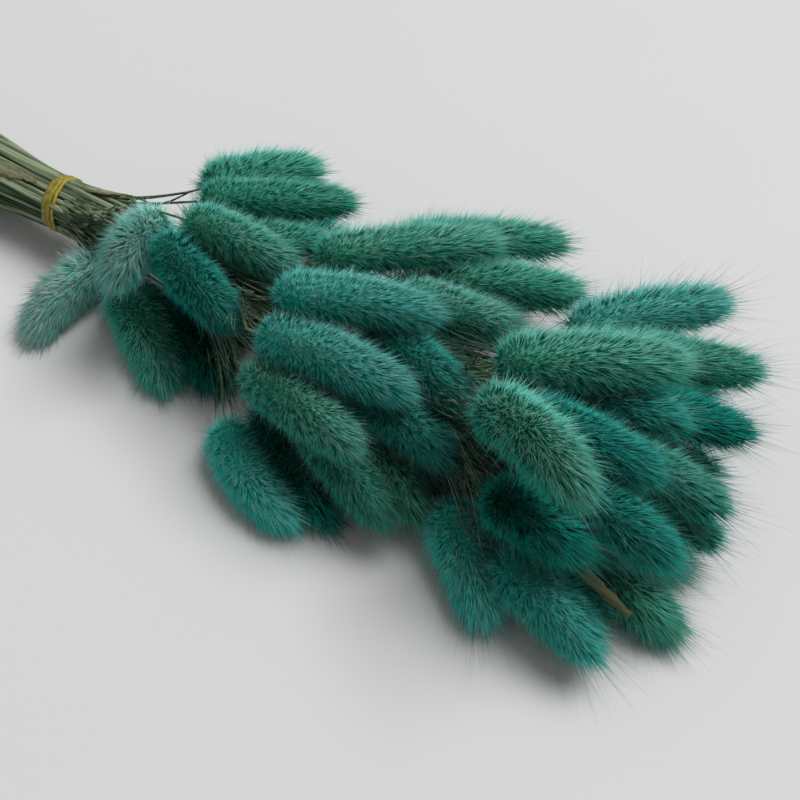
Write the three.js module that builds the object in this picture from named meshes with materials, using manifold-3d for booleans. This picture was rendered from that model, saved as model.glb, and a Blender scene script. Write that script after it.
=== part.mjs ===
// A tied bunch of dried, dyed bunny tail grass (Lagurus ovatus), lying on its side as it was put down.
//
// Millimetres, +Z up. X runs along the bunch, from the cut ends of the stems to the flower heads.
// While it is laid out, X = 0 is the tie and Z = 0 is the surface it lies on; at the end the whole bunch
// is moved along X and Y so that the origin is under the middle of its bounding box.
//
// The flower heads stand in three tiers, as the bunch was gathered: the lower tier is next to the tie.
// Each head is one solid: a slender core that stands full of pointed tufts of spikelets, raised by a
// formula on a chequered lattice. All the stems run through one tie, where they are pressed into each
// other, so they are one solid. The rubber band and each dry leaf are solids of their own.

import * as THREE from "three";
import { mergeVertices } from "three/addons/utils/BufferGeometryUtils.js";
import Module from "manifold-3d";

const wasm = await Module();
wasm.setup();

// Driving dimensions
const CUT_END_X = -138; // where the stems were cut off, measured from the tie
const CUT_END_RAGGED = 7; // how far the cut ends differ from each other
const TIE_RADIUS = 6.6; // from the middle of the tie to the middle of the outermost stem
const SHEATH_RADIUS = 1.05; // a stem in its leaf sheath
const STALK_RADIUS = 0.72; // the bare stalk under a head
const SEAT_GAP = 0.3; // left between solids that touch
const HEAD_CORE = 0.6; // radius of a head's core, as a share of its outer radius
const HEAD_PRESS = 0.84; // how close two heads lie, as a share of the sum of their outer radii
const TUFT_ROWS = 12;
const TUFT_COLUMNS = 8;
const TUFT_REACH = [0.92, 1.08]; // shortest and longest tuft, as a share of the head's outer radius
const TUFT_RISE = 0.8; // the least that a tuft stands out from the core
const TUFT_LEAN = [0.9, 2.2]; // forward lean per millimetre of tuft, at the base and at the tip
const TUFT_SPIN = 0.3; // how far a tuft strays from its column, as a share of a column
const CORE_LEAST = 1.2;
const SQUEEZED_LEAST = 0.9; // how near the middle line a tuft or core may be pressed
const TIP_LENGTH = 3.2; // the point past the last row of tufts
const STEP = 4; // between the points of a stem's line
const PRESSED = 1.2; // how far the lowest tufts are pressed flat against the surface

// Where the middle of the bundle of stems runs: x, y, z
const TRUNK = [
  [-150, 2, 8.4],
  [-60, 1, 13],
  [0, 0, 17],
  [40, -1, 21],
  [92, -5, 24],
  [150, -6, 26],
  [200, -6, 26],
];

// How far the bundle spreads about its middle, sideways and upwards, at a place along X
const SPREAD = [
  [-150, 19, 8.6],
  [-60, 13.5, 9.5],
  [-8, TIE_RADIUS, TIE_RADIUS],
  [8, TIE_RADIUS, TIE_RADIUS],
  [40, 8, 7.5],
  [85, 11, 9],
  [115, 9, 7.5],
  [150, 13, 10],
];

// The flower heads. x, y, z is the base; heading is measured from +X towards +Y and pitch above level,
// both at the middle of the head, in degrees; turn and dip are how much they change from base to tip.
const LOWER_TIER = [
  { x: 47, y: -1, z: 33, heading: -75, pitch: 8, length: 29, girth: 15.4, turn: 10, dip: -50 },
  { x: 51, y: -7, z: 37, heading: -19, pitch: -3, length: 37, girth: 15.4, turn: 4, dip: -8 },
  { x: 58, y: -5, z: 41, heading: 7, pitch: -7, length: 34, girth: 15.2, turn: 6, dip: -12 },
  { x: 41, y: 22, z: 28, heading: 45, pitch: 0, length: 36, girth: 14.8, turn: -8, dip: -10 },
  { x: 48, y: 12, z: 30, heading: 42, pitch: -9, length: 49, girth: 14.8, turn: 6, dip: -10 },
  { x: 56, y: 14, z: 26, heading: 30, pitch: -7, length: 38, girth: 14, turn: 4, dip: -6 },
  { x: 26, y: -11, z: 16, heading: -96, pitch: -13, length: 33, girth: 14, turn: 41, dip: -14 },
  { x: 34, y: -13, z: 13, heading: -31, pitch: -7, length: 42, girth: 14.8, turn: -14, dip: -4 },
  { x: 49, y: -9, z: 12, heading: -28, pitch: -6, length: 37, girth: 14, turn: -6, dip: -4 },
  { x: 50, y: 6, z: 9, heading: 10, pitch: -3, length: 37, girth: 14, turn: 5, dip: 0 },
  { x: 46, y: 18, z: 11, heading: 40, pitch: -5, length: 42, girth: 14.8, turn: 6, dip: 0 },
  { x: 38, y: 14, z: 12, heading: 74, pitch: -6, length: 36, girth: 14, turn: 10, dip: 0 },
];
const MIDDLE_TIER = [
  { x: 100, y: -15, z: 44, heading: 27, pitch: -3, length: 45, girth: 15.2, turn: -10, dip: -12 },
  { x: 101, y: -24, z: 41, heading: 7, pitch: -2, length: 46, girth: 16, turn: -4, dip: -12 },
  { x: 101, y: -30, z: 32, heading: -9, pitch: 1, length: 41, girth: 15.4, turn: -6, dip: -6 },
  { x: 97, y: -38, z: 13, heading: -22, pitch: -6, length: 37, girth: 15.4, turn: 32, dip: 6 },
  { x: 102, y: 38, z: 24, heading: 41, pitch: -8, length: 55, girth: 13.5, turn: -14, dip: -8 },
  { x: 94, y: 11, z: 31, heading: 45, pitch: -6, length: 57, girth: 15.2, turn: -8, dip: -8 },
  { x: 117, y: 33, z: 26, heading: 32, pitch: -7, length: 46, girth: 14.8, turn: -6, dip: -6 },
  { x: 115, y: 22, z: 24, heading: 16, pitch: -6, length: 38, girth: 14.8, turn: 4, dip: -6 },
  { x: 122, y: -2, z: 34, heading: -11, pitch: 0, length: 35, girth: 14.8, turn: -8, dip: -6 },
  { x: 128, y: -18, z: 30, heading: -5, pitch: -8, length: 34, girth: 14.8, turn: -8, dip: -8 },
  { x: 120, y: -29, z: 18, heading: -18, pitch: -12, length: 34, girth: 14.8, turn: -8, dip: -6 },
  { x: 130, y: -17, z: 14, heading: -24, pitch: -9, length: 33, girth: 14, turn: -6, dip: -4 },
  { x: 103, y: -30, z: 16, heading: -25, pitch: -9, length: 39, girth: 14.8, turn: 0, dip: -4 },
  { x: 104, y: 28, z: 10, heading: 40, pitch: -3, length: 48, girth: 14.8, turn: -6, dip: 0 },
  { x: 108, y: 6, z: 9, heading: 15, pitch: -3, length: 45, girth: 14.8, turn: -6, dip: 0 },
  { x: 106, y: -12, z: 9, heading: -8, pitch: -3, length: 42, girth: 14.8, turn: -4, dip: 0 },
];
const TOP_TIER = [
  { x: 166, y: 31, z: 29, heading: 51, pitch: -4, length: 52, girth: 15.2, turn: -10, dip: -8 },
  { x: 161, y: -2, z: 46, heading: 33, pitch: 0, length: 50, girth: 16, turn: -8, dip: -8 },
  { x: 176, y: 32, z: 28, heading: 28, pitch: -5, length: 45, girth: 15.4, turn: -6, dip: -8 },
  { x: 181, y: 18, z: 27, heading: 21, pitch: -8, length: 45, girth: 15.4, turn: -4, dip: -8 },
  { x: 174, y: 9, z: 34, heading: 10, pitch: 4, length: 35, girth: 14.8, turn: 0, dip: -8 },
  { x: 171, y: -9, z: 42, heading: 2, pitch: 0, length: 40, girth: 15.4, turn: -6, dip: -10 },
  { x: 186, y: 2, z: 28, heading: 4, pitch: -7, length: 41, girth: 15.2, turn: -4, dip: -8 },
  { x: 166, y: -14, z: 46, heading: -24, pitch: 12, length: 41, girth: 18, turn: -12, dip: -30 },
  { x: 188, y: -17, z: 34, heading: -7, pitch: -2, length: 36, girth: 15.2, turn: -4, dip: -8 },
  { x: 191, y: -4, z: 15, heading: 0, pitch: -4, length: 42, girth: 15.2, turn: 4, dip: -4 },
  { x: 190, y: -23, z: 17, heading: 12, pitch: -8, length: 37, girth: 14.8, turn: 4, dip: -4 },
  { x: 177, y: -25.5, z: 29, heading: -5, pitch: 4, length: 26, girth: 14.8, turn: -4, dip: -6 },
  { x: 187, y: -32.5, z: 15, heading: -16, pitch: -6, length: 35, girth: 16.5, turn: -6, dip: -4 },
  { x: 166, y: -24, z: 15, heading: -39, pitch: -8, length: 34, girth: 17, turn: -16, dip: -6 },
  { x: 181, y: -15, z: 9, heading: -34, pitch: -4, length: 31, girth: 14.8, turn: -8, dip: 0 },
  { x: 193, y: -5, z: 9, heading: -14, pitch: -5, length: 29, girth: 14, turn: 0, dip: 0 },
  { x: 171, y: 28, z: 10, heading: 42, pitch: -3, length: 46, girth: 14.8, turn: -6, dip: 0 },
  { x: 178, y: 12, z: 9, heading: 20, pitch: -3, length: 44, girth: 14.8, turn: -4, dip: 0 },
  { x: 180, y: -4, z: 9, heading: 2, pitch: -3, length: 42, girth: 14, turn: 0, dip: 0 },
];

// The rubber band, wound three times round the tie
const BAND_THICKNESS = 1.1;
const BAND_STRAND = 1.5;
const BAND_STRANDS = 3;
const BAND_GROOVE = 0.5; // depth of the groove between strands
const BAND_ROUNDING = 0.2; // from the edge of a strand to its crown
const BAND_SEGMENTS = 26;
const BAND_SLANT = [-4, 6]; // degrees about Y and about Z

// Dry leaves that lie along the bundle, as rows of x, angle round the bundle from +Y towards +Z in
// degrees, lift off the stems, and width
const LEAF_THICKNESS = 0.7;
const BUNDLE_LEAVES = {
  leaf_behind_tie_top: [
    [-54, 46, 0.1, 1.6],
    [-44, 44, 0.1, 3.6],
    [-32, 40, 0.1, 4.4],
    [-20, 38, 0.2, 3.8],
    [-10, 36, 0.4, 1.4],
  ],
  leaf_behind_tie_front: [
    [-48, 122, 0.1, 2],
    [-38, 120, 0.1, 4.2],
    [-26, 116, 0.1, 4.8],
    [-16, 110, 0.2, 3.6],
    [-8, 106, 0.4, 1.2],
  ],
  leaf_past_tie_top: [
    [4.5, 66, 0.2, 2.8],
    [10, 62, 0.2, 4.2],
    [17, 58, 0.4, 3.8],
    [22, 56, 0.9, 1.6],
  ],
  leaf_past_tie_front: [
    [4, 150, 0.2, 2.2],
    [9, 158, 0.3, 3],
    [14, 168, 0.6, 2.4],
    [18, 178, 1.2, 1.2],
  ],
  leaf_past_tie_under: [
    [5, 205, 0.2, 2.2],
    [9, 212, 0.4, 2.8],
    [13, 220, 1, 1.8],
  ],
  leaf_stub: [
    [24, 84, 0.3, 2.6],
    [29, 82, 0.6, 3],
    [34, 80, 1.8, 2.6],
  ],
};

// The dry leaf among the heads of the top tier, as rows of x, y, z and width
const TIER_LEAF = [
  [190, -21, 23, 1.2],
  [197, -26, 24, 2.6],
  [204, -29.5, 24, 3.6],
  [212, -32, 24, 3.8],
  [220.5, -33.5, 22.5, 2.4],
];

const Z_AXIS = new THREE.Vector3(0, 0, 1);
const radians = THREE.MathUtils.degToRad;
const clamp = THREE.MathUtils.clamp;
const lerp = THREE.MathUtils.lerp;

// A repeatable stream of numbers from 0 to 1.
function seededRandom(seed) {
  let state = seed >>> 0;
  return () => {
    state = (state + 0x6d2b79f5) >>> 0;
    let t = state;
    t = Math.imul(t ^ (t >>> 15), t | 1);
    t ^= t + Math.imul(t ^ (t >>> 7), t | 61);
    return ((t ^ (t >>> 14)) >>> 0) / 4294967296;
  };
}

// Closed surface through rings of points, each ring the same length, with a fan over each end.
// Rings run counter-clockwise as seen from beyond the last ring.
function skin(rings, firstPole, lastPole) {
  const sides = rings[0].length;
  const points = [...rings.flat(), firstPole, lastPole];
  const first = rings.length * sides;
  const last = first + 1;
  const faces = [];
  for (let i = 0; i + 1 < rings.length; i++) {
    for (let j = 0; j < sides; j++) {
      const a = i * sides + j;
      const b = i * sides + ((j + 1) % sides);
      // The diagonal joins the two low corners of a cell, so that each raised point is a clean pyramid.
      if ((i + j) % 2) faces.push(a, b, a + sides, b, b + sides, a + sides);
      else faces.push(a, b, b + sides, a, b + sides, a + sides);
    }
  }
  const top = (rings.length - 1) * sides;
  for (let j = 0; j < sides; j++) {
    faces.push(first, (j + 1) % sides, j);
    faces.push(last, top + j, top + ((j + 1) % sides));
  }
  const geometry = new THREE.BufferGeometry().setFromPoints(points);
  return geometry.setIndex(faces);
}

// Two directions square to a line that runs along tangent.
function crossFrame(tangent) {
  const side = new THREE.Vector3().crossVectors(tangent, Z_AXIS).normalize();
  const up = new THREE.Vector3().crossVectors(side, tangent);
  return { side, up };
}

function toManifold(geometry) {
  const bare = geometry.clone();
  bare.deleteAttribute("normal");
  bare.deleteAttribute("uv");
  const merged = mergeVertices(bare, 1e-4);
  return new wasm.Manifold(
    new wasm.Mesh({
      numProp: 3,
      vertProperties: merged.attributes.position.array,
      triVerts: new Uint32Array(merged.index.array),
    }),
  );
}

function toGeometry(solid) {
  const mesh = solid.getMesh();
  const geometry = new THREE.BufferGeometry();
  geometry.setAttribute("position", new THREE.BufferAttribute(new Float32Array(mesh.vertProperties), 3));
  return geometry.setIndex(new THREE.BufferAttribute(new Uint32Array(mesh.triVerts), 1));
}

// The outer body of a solid: closed pockets inside it are filled and loose scraps are dropped.
function largestBody(solid) {
  return solid.decompose().reduce((best, body) => (body.volume() > best.volume() ? body : best));
}

// Cuts away whatever reaches below the surface, so that what is pressed against it is flat.
function pressFlat(solid) {
  const below = new THREE.BoxGeometry(800, 400, 40).translate(0, 0, -20);
  return solid.subtract(toManifold(below));
}

// Flower heads

// How a head points at a share u of its length.
function headDirection(head, u) {
  const heading = radians(head.heading + head.turn * (u - 0.5));
  const pitch = radians(head.pitch + head.dip * (u - 0.5));
  return new THREE.Vector3(
    Math.cos(pitch) * Math.cos(heading),
    Math.cos(pitch) * Math.sin(heading),
    Math.sin(pitch),
  );
}

// Points along the middle of a head, from base to tip.
function headLine(head, count) {
  const point = head.base.clone();
  const line = [point.clone()];
  for (let i = 1; i < count; i++) {
    point.addScaledVector(headDirection(head, (i - 0.5) / (count - 1)), head.length / (count - 1));
    line.push(point.clone());
  }
  return line;
}

// Outer radius along a head as a share of its largest: a blunt round base, a long body, a soft point.
function headForm(u) {
  const shoulder = Math.sin((Math.PI / 2) * clamp((u + 0.06) / 0.26, 0, 1));
  const taper = 1 - 0.5 * Math.pow(clamp((u - 0.35) / 0.65, 0, 1), 2);
  return shoulder * taper;
}

// Balls that fill a head
function headBalls(head) {
  const count = 9;
  return headLine(head, count).map((centre, i) => ({
    centre,
    radius: (head.girth / 2) * headForm(i / (count - 1)),
  }));
}

// How far a tuft can stand out from the middle of its head before it meets what lies against it. Two
// heads share the room between them, so each stops short of the plane where their balls cross.
function roomFor(centre, radius, outward, neighbours) {
  let reach = Infinity;
  for (const ball of neighbours) {
    const to = ball.centre.clone().sub(centre);
    const along = to.dot(outward);
    if (along <= 0) continue;
    const gap = to.length();
    const wall = ball.stiff
      ? (gap - ball.radius - SEAT_GAP) * gap
      : (gap * gap - ball.radius * ball.radius + radius * radius) / 2 - SEAT_GAP * gap;
    reach = Math.min(reach, wall / along);
  }
  return reach;
}

function headGeometry(head, neighbours) {
  const random = seededRandom(head.seed);
  const line = headLine(head, TUFT_ROWS);
  const outer = head.girth / 2;
  const phase = random() * Math.PI;
  const reachable = head.length / 2 + 2 * outer;
  const near = neighbours.filter((ball) => ball.centre.distanceTo(line[TUFT_ROWS / 2]) < reachable);
  const rings = line.map((centre, i) => {
    const u = i / (TUFT_ROWS - 1);
    const tangent = headDirection(head, u);
    const { side, up } = crossFrame(tangent);
    return Array.from({ length: TUFT_COLUMNS }, (_, j) => {
      const raised = i > 0 && (i + j) % 2 === 1;
      const core = Math.max(CORE_LEAST, outer * HEAD_CORE * headForm(u));
      const tuft = Math.max(core + TUFT_RISE, outer * headForm(u) * lerp(...TUFT_REACH, random()));
      const stray = raised ? TUFT_SPIN * (random() - 0.5) : 0;
      const angle = phase + (2 * Math.PI * (j + stray)) / TUFT_COLUMNS;
      const outward = side.clone().multiplyScalar(-Math.cos(angle)).addScaledVector(up, Math.sin(angle));
      const lean = raised ? (tuft - core) * lerp(...TUFT_LEAN, u) : 0;
      const root = centre.clone().addScaledVector(tangent, lean);
      const room = roomFor(root, outer * headForm(u), outward, near);
      const reach = Math.max(SQUEEZED_LEAST, Math.min(raised ? tuft : core, room));
      return root.addScaledVector(outward, reach);
    });
  });
  const tip = line[TUFT_ROWS - 1].clone().addScaledVector(headDirection(head, 1), TIP_LENGTH);
  return skin(rings, line[0].clone(), tip);
}

// The bundle of stems

// A value read off a list of [x, value, value...] rows by straight lines between them.
function alongX(rows, x, column) {
  const next = rows.findIndex((row) => row[0] > x);
  if (next === 0) return rows[0][column];
  if (next < 0) return rows[rows.length - 1][column];
  const [from, to] = [rows[next - 1], rows[next]];
  return from[column] + ((to[column] - from[column]) * (x - from[0])) / (to[0] - from[0]);
}

function trunkPoint(x) {
  return new THREE.Vector3(x, alongX(TRUNK, x, 1), alongX(TRUNK, x, 2));
}

const heads = [LOWER_TIER, MIDDLE_TIER, TOP_TIER].flatMap((tier, t) =>
  tier.map((head, i) => ({
    ...head,
    tier: t,
    base: new THREE.Vector3(head.x, head.y, head.z),
    name: `head_${["lower", "middle", "top"][t]}_${String(i + 1).padStart(2, "0")}`,
    seed: 101 + 97 * t + 13 * i,
  })),
);

// Each head keeps its direction and slides as a whole until it is only pressed lightly against the
// others, and is clear of the stems and of the surface. It slides across the line of sight much less
// than along it, so that the bunch keeps its look from above and in front.
const SIGHT = new THREE.Vector3(0.34, -0.51, 0.79).normalize();
const SLIDE_ACROSS = 0.3;
const SETTLE_ROUNDS = 300;
const YIELD = 0.3; // share of an overlap that each of two heads gives way in one round
const LONGEST_SLIDE = 1.2; // in one round
const OUT_OF_TOUCH = 110; // heads whose bases are further apart than this can't meet
const BOTTOM_LAYER = 18; // heads placed lower than this sink until they lie on the surface
const SINKING = 0.12;

// The part of the bundle that heads keep clear of, as rows of x and radius
const TRUNK_CORE = [
  [6, 5.3],
  [40, 6],
  [60, 5.2],
  [150, 5.2],
];

function trunkBalls() {
  const balls = [];
  for (let x = TRUNK_CORE[0][0]; x <= TRUNK_CORE.at(-1)[0]; x += STEP) {
    balls.push({ centre: trunkPoint(x), radius: alongX(TRUNK_CORE, x, 1) });
  }
  return balls;
}

// Lowers a head along the line of sight, so that it stays where it is seen.
function lowerBy(head, depth) {
  head.base.addScaledVector(SIGHT, -depth / SIGHT.z);
}

function settle(pieces) {
  const trunk = trunkBalls();
  const push = new THREE.Vector3();
  for (let round = 0; round < SETTLE_ROUNDS; round++) {
    const balls = pieces.map(headBalls);
    const moves = pieces.map(() => new THREE.Vector3());
    for (let a = 0; a < pieces.length; a++) {
      for (let b = a + 1; b < pieces.length; b++) {
        if (pieces[a].base.distanceTo(pieces[b].base) > OUT_OF_TOUCH) continue;
        let worst = 0;
        for (const p of balls[a]) {
          for (const q of balls[b]) {
            const depth = HEAD_PRESS * (p.radius + q.radius) - p.centre.distanceTo(q.centre);
            if (depth > worst) {
              worst = depth;
              push.subVectors(p.centre, q.centre).setLength(depth);
            }
          }
        }
        if (!worst) continue;
        moves[a].addScaledVector(push, YIELD);
        moves[b].addScaledVector(push, -YIELD);
      }
      for (const p of balls[a]) {
        for (const q of trunk) {
          const depth = HEAD_PRESS * p.radius + q.radius - p.centre.distanceTo(q.centre);
          if (depth <= 0) continue;
          push.subVectors(p.centre, q.centre).setLength(depth);
          moves[a].addScaledVector(push, YIELD);
        }
      }
    }
    pieces.forEach((head, i) => {
      const along = moves[i].dot(SIGHT);
      const move = moves[i].addScaledVector(SIGHT, -along).multiplyScalar(SLIDE_ACROSS);
      head.base.add(move.addScaledVector(SIGHT, along).clampLength(0, LONGEST_SLIDE));
      if (head.z < BOTTOM_LAYER) lowerBy(head, SINKING);
      const low = Math.min(...headBalls(head).map((ball) => ball.centre.z - ball.radius));
      if (low < -PRESSED) lowerBy(head, PRESSED + low);
    });
  }
}

settle(heads);

// The stems. Each has its own place in the bundle, from the cut end to where it bends off to its head.

const TIE_HALF = 9; // half the length over which the stems run side by side through the tie
const BEND_OFF = 30; // how far before its head a stem leaves the bundle
const BEND_PULL = 0.42; // length of the bend's two handles, as a share of its span
const BARE_FROM = 20; // the shortest stretch over which a sheath thins to the bare stalk
const GOLDEN_ANGLE = Math.PI * (3 - Math.sqrt(5));

// Places in the round bundle, from the middle outwards: distance from the middle, as a share, and angle.
const places = heads.map((_, k) => ({
  share: Math.sqrt((k + 0.5) / heads.length),
  angle: (k * GOLDEN_ANGLE) % (2 * Math.PI),
}));

// The stems of the top tier run in the middle and those of the lower tier outside them, each on the
// side of the bundle where its head is.
function assignPlaces() {
  let first = 0;
  for (const tier of [2, 1, 0]) {
    const owners = heads.filter((head) => head.tier === tier);
    const free = places.slice(first, first + owners.length).sort((a, b) => a.angle - b.angle);
    const side = (head) => {
      const away = head.base.clone().sub(trunkPoint(head.base.x));
      return (Math.atan2(away.z, away.y) + 2 * Math.PI) % (2 * Math.PI);
    };
    owners.sort((a, b) => side(a) - side(b));
    const turns = owners.map((_, shift) => ({
      shift,
      cost: owners.reduce((sum, head, i) => {
        const gap = Math.abs(side(head) - free[(i + shift) % free.length].angle);
        return sum + Math.min(gap, 2 * Math.PI - gap) ** 2;
      }, 0),
    }));
    const { shift } = turns.reduce((best, turn) => (turn.cost < best.cost ? turn : best));
    owners.forEach((head, i) => {
      head.place = free[(i + shift) % free.length];
    });
    first += owners.length;
  }
}

function bundlePoint(head, x) {
  const { share, angle } = head.place;
  const point = trunkPoint(x);
  point.y += alongX(SPREAD, x, 1) * share * Math.cos(angle);
  point.z += alongX(SPREAD, x, 2) * share * Math.sin(angle);
  return point;
}

function stemLine(head) {
  const random = seededRandom(head.seed + 7);
  const cut = CUT_END_X + CUT_END_RAGGED * (2 * random() - 1);
  const leave = Math.max(TIE_HALF + 3, head.base.x - BEND_OFF);
  const from = bundlePoint(head, leave);
  const end = head.base.clone().addScaledVector(headDirection(head, 0), -SEAT_GAP);
  const pull = from.distanceTo(end) * BEND_PULL;
  const bend = new THREE.CubicBezierCurve3(
    from,
    from.clone().add(new THREE.Vector3(pull, 0, 0)),
    end.clone().addScaledVector(headDirection(head, 0), -pull),
    end,
  );
  const line = [];
  for (let x = cut; x < leave - STEP / 2; x += STEP) line.push(bundlePoint(head, x));
  const bends = Math.max(4, Math.ceil(bend.getLength() / STEP));
  return [...line, ...bend.getPoints(bends)];
}

function stemRadius(x, head) {
  const bare = clamp((x - TIE_HALF) / Math.max(BARE_FROM, head.base.x - BEND_OFF), 0, 1);
  return lerp(SHEATH_RADIUS, STALK_RADIUS, bare);
}

// Past the tie each stem is bent clear of the heads that it passes, and of the surface.
const BEND_ROUNDS = 60;
const STIFFNESS = 0.25; // how strongly a stem straightens itself in one round

function bendClear(head, line, balls) {
  const near = balls.filter((ball) => ball.owner !== head);
  const push = new THREE.Vector3();
  for (let round = 0; round < BEND_ROUNDS; round++) {
    for (let i = 1; i + 1 < line.length; i++) {
      const point = line[i];
      if (point.x < TIE_HALF) continue;
      if (i + 2 < line.length) {
        push.addVectors(line[i - 1], line[i + 1]).multiplyScalar(0.5).sub(point);
        point.addScaledVector(push, STIFFNESS);
      }
      const radius = stemRadius(point.x, head) + SEAT_GAP;
      for (const ball of near) {
        push.subVectors(point, ball.centre);
        const depth = HEAD_PRESS * ball.radius + radius - push.length();
        if (depth > 0) point.addScaledVector(push.normalize(), depth);
      }
      point.z = Math.max(point.z, radius);
    }
  }
}

// Drops the points that lie on the straight line between their neighbours, within a tolerance.
function thinned(line, tolerance) {
  const first = line[0];
  const last = line[line.length - 1];
  const chord = new THREE.Line3(first, last);
  const foot = new THREE.Vector3();
  let worst = 0;
  let split = 0;
  for (let i = 1; i + 1 < line.length; i++) {
    const off = chord.closestPointToPoint(line[i], true, foot).distanceTo(line[i]);
    if (off > worst) {
      worst = off;
      split = i;
    }
  }
  if (worst <= tolerance) return [first, last];
  const before = thinned(line.slice(0, split + 1), tolerance);
  return [...before.slice(0, -1), ...thinned(line.slice(split), tolerance)];
}

const STEM_SIDES = 4;
const LINE_TOLERANCE = 0.4;

function stemGeometry(head) {
  const line = thinned(head.line, LINE_TOLERANCE);
  const rings = line.map((centre, i) => {
    const tangent = new THREE.Vector3()
      .subVectors(line[Math.min(i + 1, line.length - 1)], line[Math.max(i - 1, 0)])
      .normalize();
    const { side, up } = crossFrame(tangent);
    const radius = stemRadius(centre.x, head);
    return Array.from({ length: STEM_SIDES }, (_, j) => {
      const angle = head.seed + (2 * Math.PI * j) / STEM_SIDES;
      return centre
        .clone()
        .addScaledVector(side, -radius * Math.cos(angle))
        .addScaledVector(up, radius * Math.sin(angle));
    });
  });
  return skin(rings, line[0].clone(), line[line.length - 1].clone());
}

assignPlaces();
const allBalls = heads.flatMap((head) => headBalls(head).map((ball) => ({ ...ball, owner: head })));
for (const head of heads) {
  head.line = stemLine(head);
  bendClear(head, head.line, allBalls);
}

// The middle of the tie, where the stems are pressed into each other under the rubber band
const PLUG_LENGTH = 5;
const PLUG_RADIUS = 0.93 * TIE_RADIUS;

function tiePlug() {
  const plug = new THREE.CylinderGeometry(PLUG_RADIUS, PLUG_RADIUS, PLUG_LENGTH, 14);
  return plug.rotateZ(Math.PI / 2).translate(...trunkPoint(0).toArray());
}

let stems = toManifold(tiePlug());
for (const head of heads) stems = stems.add(toManifold(stemGeometry(head)));
stems = largestBody(pressFlat(stems));

// The rubber band

function bandGeometry() {
  const inner = TIE_RADIUS + SHEATH_RADIUS + 1.5 * SEAT_GAP;
  const outer = inner + BAND_THICKNESS;
  const half = (BAND_STRAND * BAND_STRANDS) / 2;
  // Strands side by side, as points of radius and distance along the bundle: the outer face with its
  // grooves, then the flat inner face.
  const section = [];
  for (let strand = 0; strand < BAND_STRANDS; strand++) {
    const left = strand * BAND_STRAND - half;
    if (strand > 0) section.push([outer - BAND_GROOVE, left]);
    section.push([outer, left + BAND_ROUNDING], [outer, left + BAND_STRAND - BAND_ROUNDING]);
  }
  section.push([inner, half], [inner, -half], section[0]);
  const profile = section.map(([radius, along]) => new THREE.Vector2(radius, along));
  const [aboutY, aboutZ] = BAND_SLANT.map(radians);
  const band = new THREE.LatheGeometry(profile, BAND_SEGMENTS).rotateZ(-Math.PI / 2);
  return band.rotateY(aboutY).rotateZ(aboutZ).translate(...trunkPoint(0).toArray());
}

// Dry leaves

// A thin flat blade along a line; each row is a point, the way its face looks, and its width.
function bladeGeometry(rows) {
  const rings = rows.map(({ point, facing, width }, i) => {
    const tangent = new THREE.Vector3()
      .subVectors(rows[Math.min(i + 1, rows.length - 1)].point, rows[Math.max(i - 1, 0)].point)
      .normalize();
    const normal = facing.clone().addScaledVector(tangent, -facing.dot(tangent)).normalize();
    const across = new THREE.Vector3().crossVectors(normal, tangent).multiplyScalar(width / 2);
    const through = normal.multiplyScalar(LEAF_THICKNESS / 2);
    return [
      [1, 1],
      [-1, 1],
      [-1, -1],
      [1, -1],
    ].map(([a, b]) => point.clone().addScaledVector(across, a).addScaledVector(through, b));
  });
  return skin(rings, rows[0].point.clone(), rows[rows.length - 1].point.clone());
}

// How far the stems under a leaf of this width reach out from the middle of the bundle.
function bundleReach(x, outward, width) {
  const middle = trunkPoint(x);
  const across = new THREE.Vector3(0, -outward.z, outward.y);
  const offset = new THREE.Vector3();
  return heads.reduce((reach, head) => {
    const next = head.line.findIndex((point) => point.x >= x);
    if (next < 1) return reach;
    const [from, to] = [head.line[next - 1], head.line[next]];
    offset.lerpVectors(from, to, (x - from.x) / (to.x - from.x)).sub(middle);
    const radius = stemRadius(x, head);
    if (Math.abs(offset.dot(across)) > width / 2 + radius) return reach;
    return Math.max(reach, offset.dot(outward) + radius);
  }, 0);
}

function bundleLeafRows(rows) {
  return rows.map(([x, degrees, lift, width]) => {
    const angle = radians(degrees);
    const facing = new THREE.Vector3(0, Math.cos(angle), Math.sin(angle));
    const reach = bundleReach(x, facing, width) + SEAT_GAP + LEAF_THICKNESS / 2 + lift;
    return { point: trunkPoint(x).addScaledVector(facing, reach), facing, width };
  });
}

function tierLeafRows() {
  return TIER_LEAF.map(([x, y, z, width]) => ({
    point: new THREE.Vector3(x, y, z),
    facing: new THREE.Vector3(0.1, -0.5, 0.85),
    width,
  }));
}

const group = new THREE.Group();
const palette = { head: 0x2f7d74, stem: 0x7d8f6a, band: 0xc7a52a, leaf: 0x9a9468 };

function addMesh(name, solid, colour, roughness) {
  const material = new THREE.MeshStandardMaterial({ color: colour, roughness, metalness: 0 });
  const mesh = new THREE.Mesh(toGeometry(solid), material);
  mesh.name = name;
  group.add(mesh);
}

const leafBalls = tierLeafRows().map(({ point, width }) => ({
  centre: point,
  radius: width / 2,
  stiff: true,
}));
const stemBalls = heads.flatMap((head) =>
  head.line.map((centre) => ({ centre, radius: stemRadius(centre.x, head), stiff: true, owner: head })),
);
for (const head of heads) {
  const others = [...allBalls, ...stemBalls, ...leafBalls].filter((ball) => ball.owner !== head);
  addMesh(head.name, pressFlat(toManifold(headGeometry(head, others))), palette.head, 0.95);
}

addMesh("stems", stems, palette.stem, 0.8);
addMesh("rubber_band", toManifold(bandGeometry()), palette.band, 0.5);
for (const [name, rows] of Object.entries(BUNDLE_LEAVES)) {
  addMesh(name, toManifold(bladeGeometry(bundleLeafRows(rows))), palette.leaf, 0.85);
}
addMesh("leaf_top_tier", toManifold(bladeGeometry(tierLeafRows())), palette.leaf, 0.85);

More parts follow.
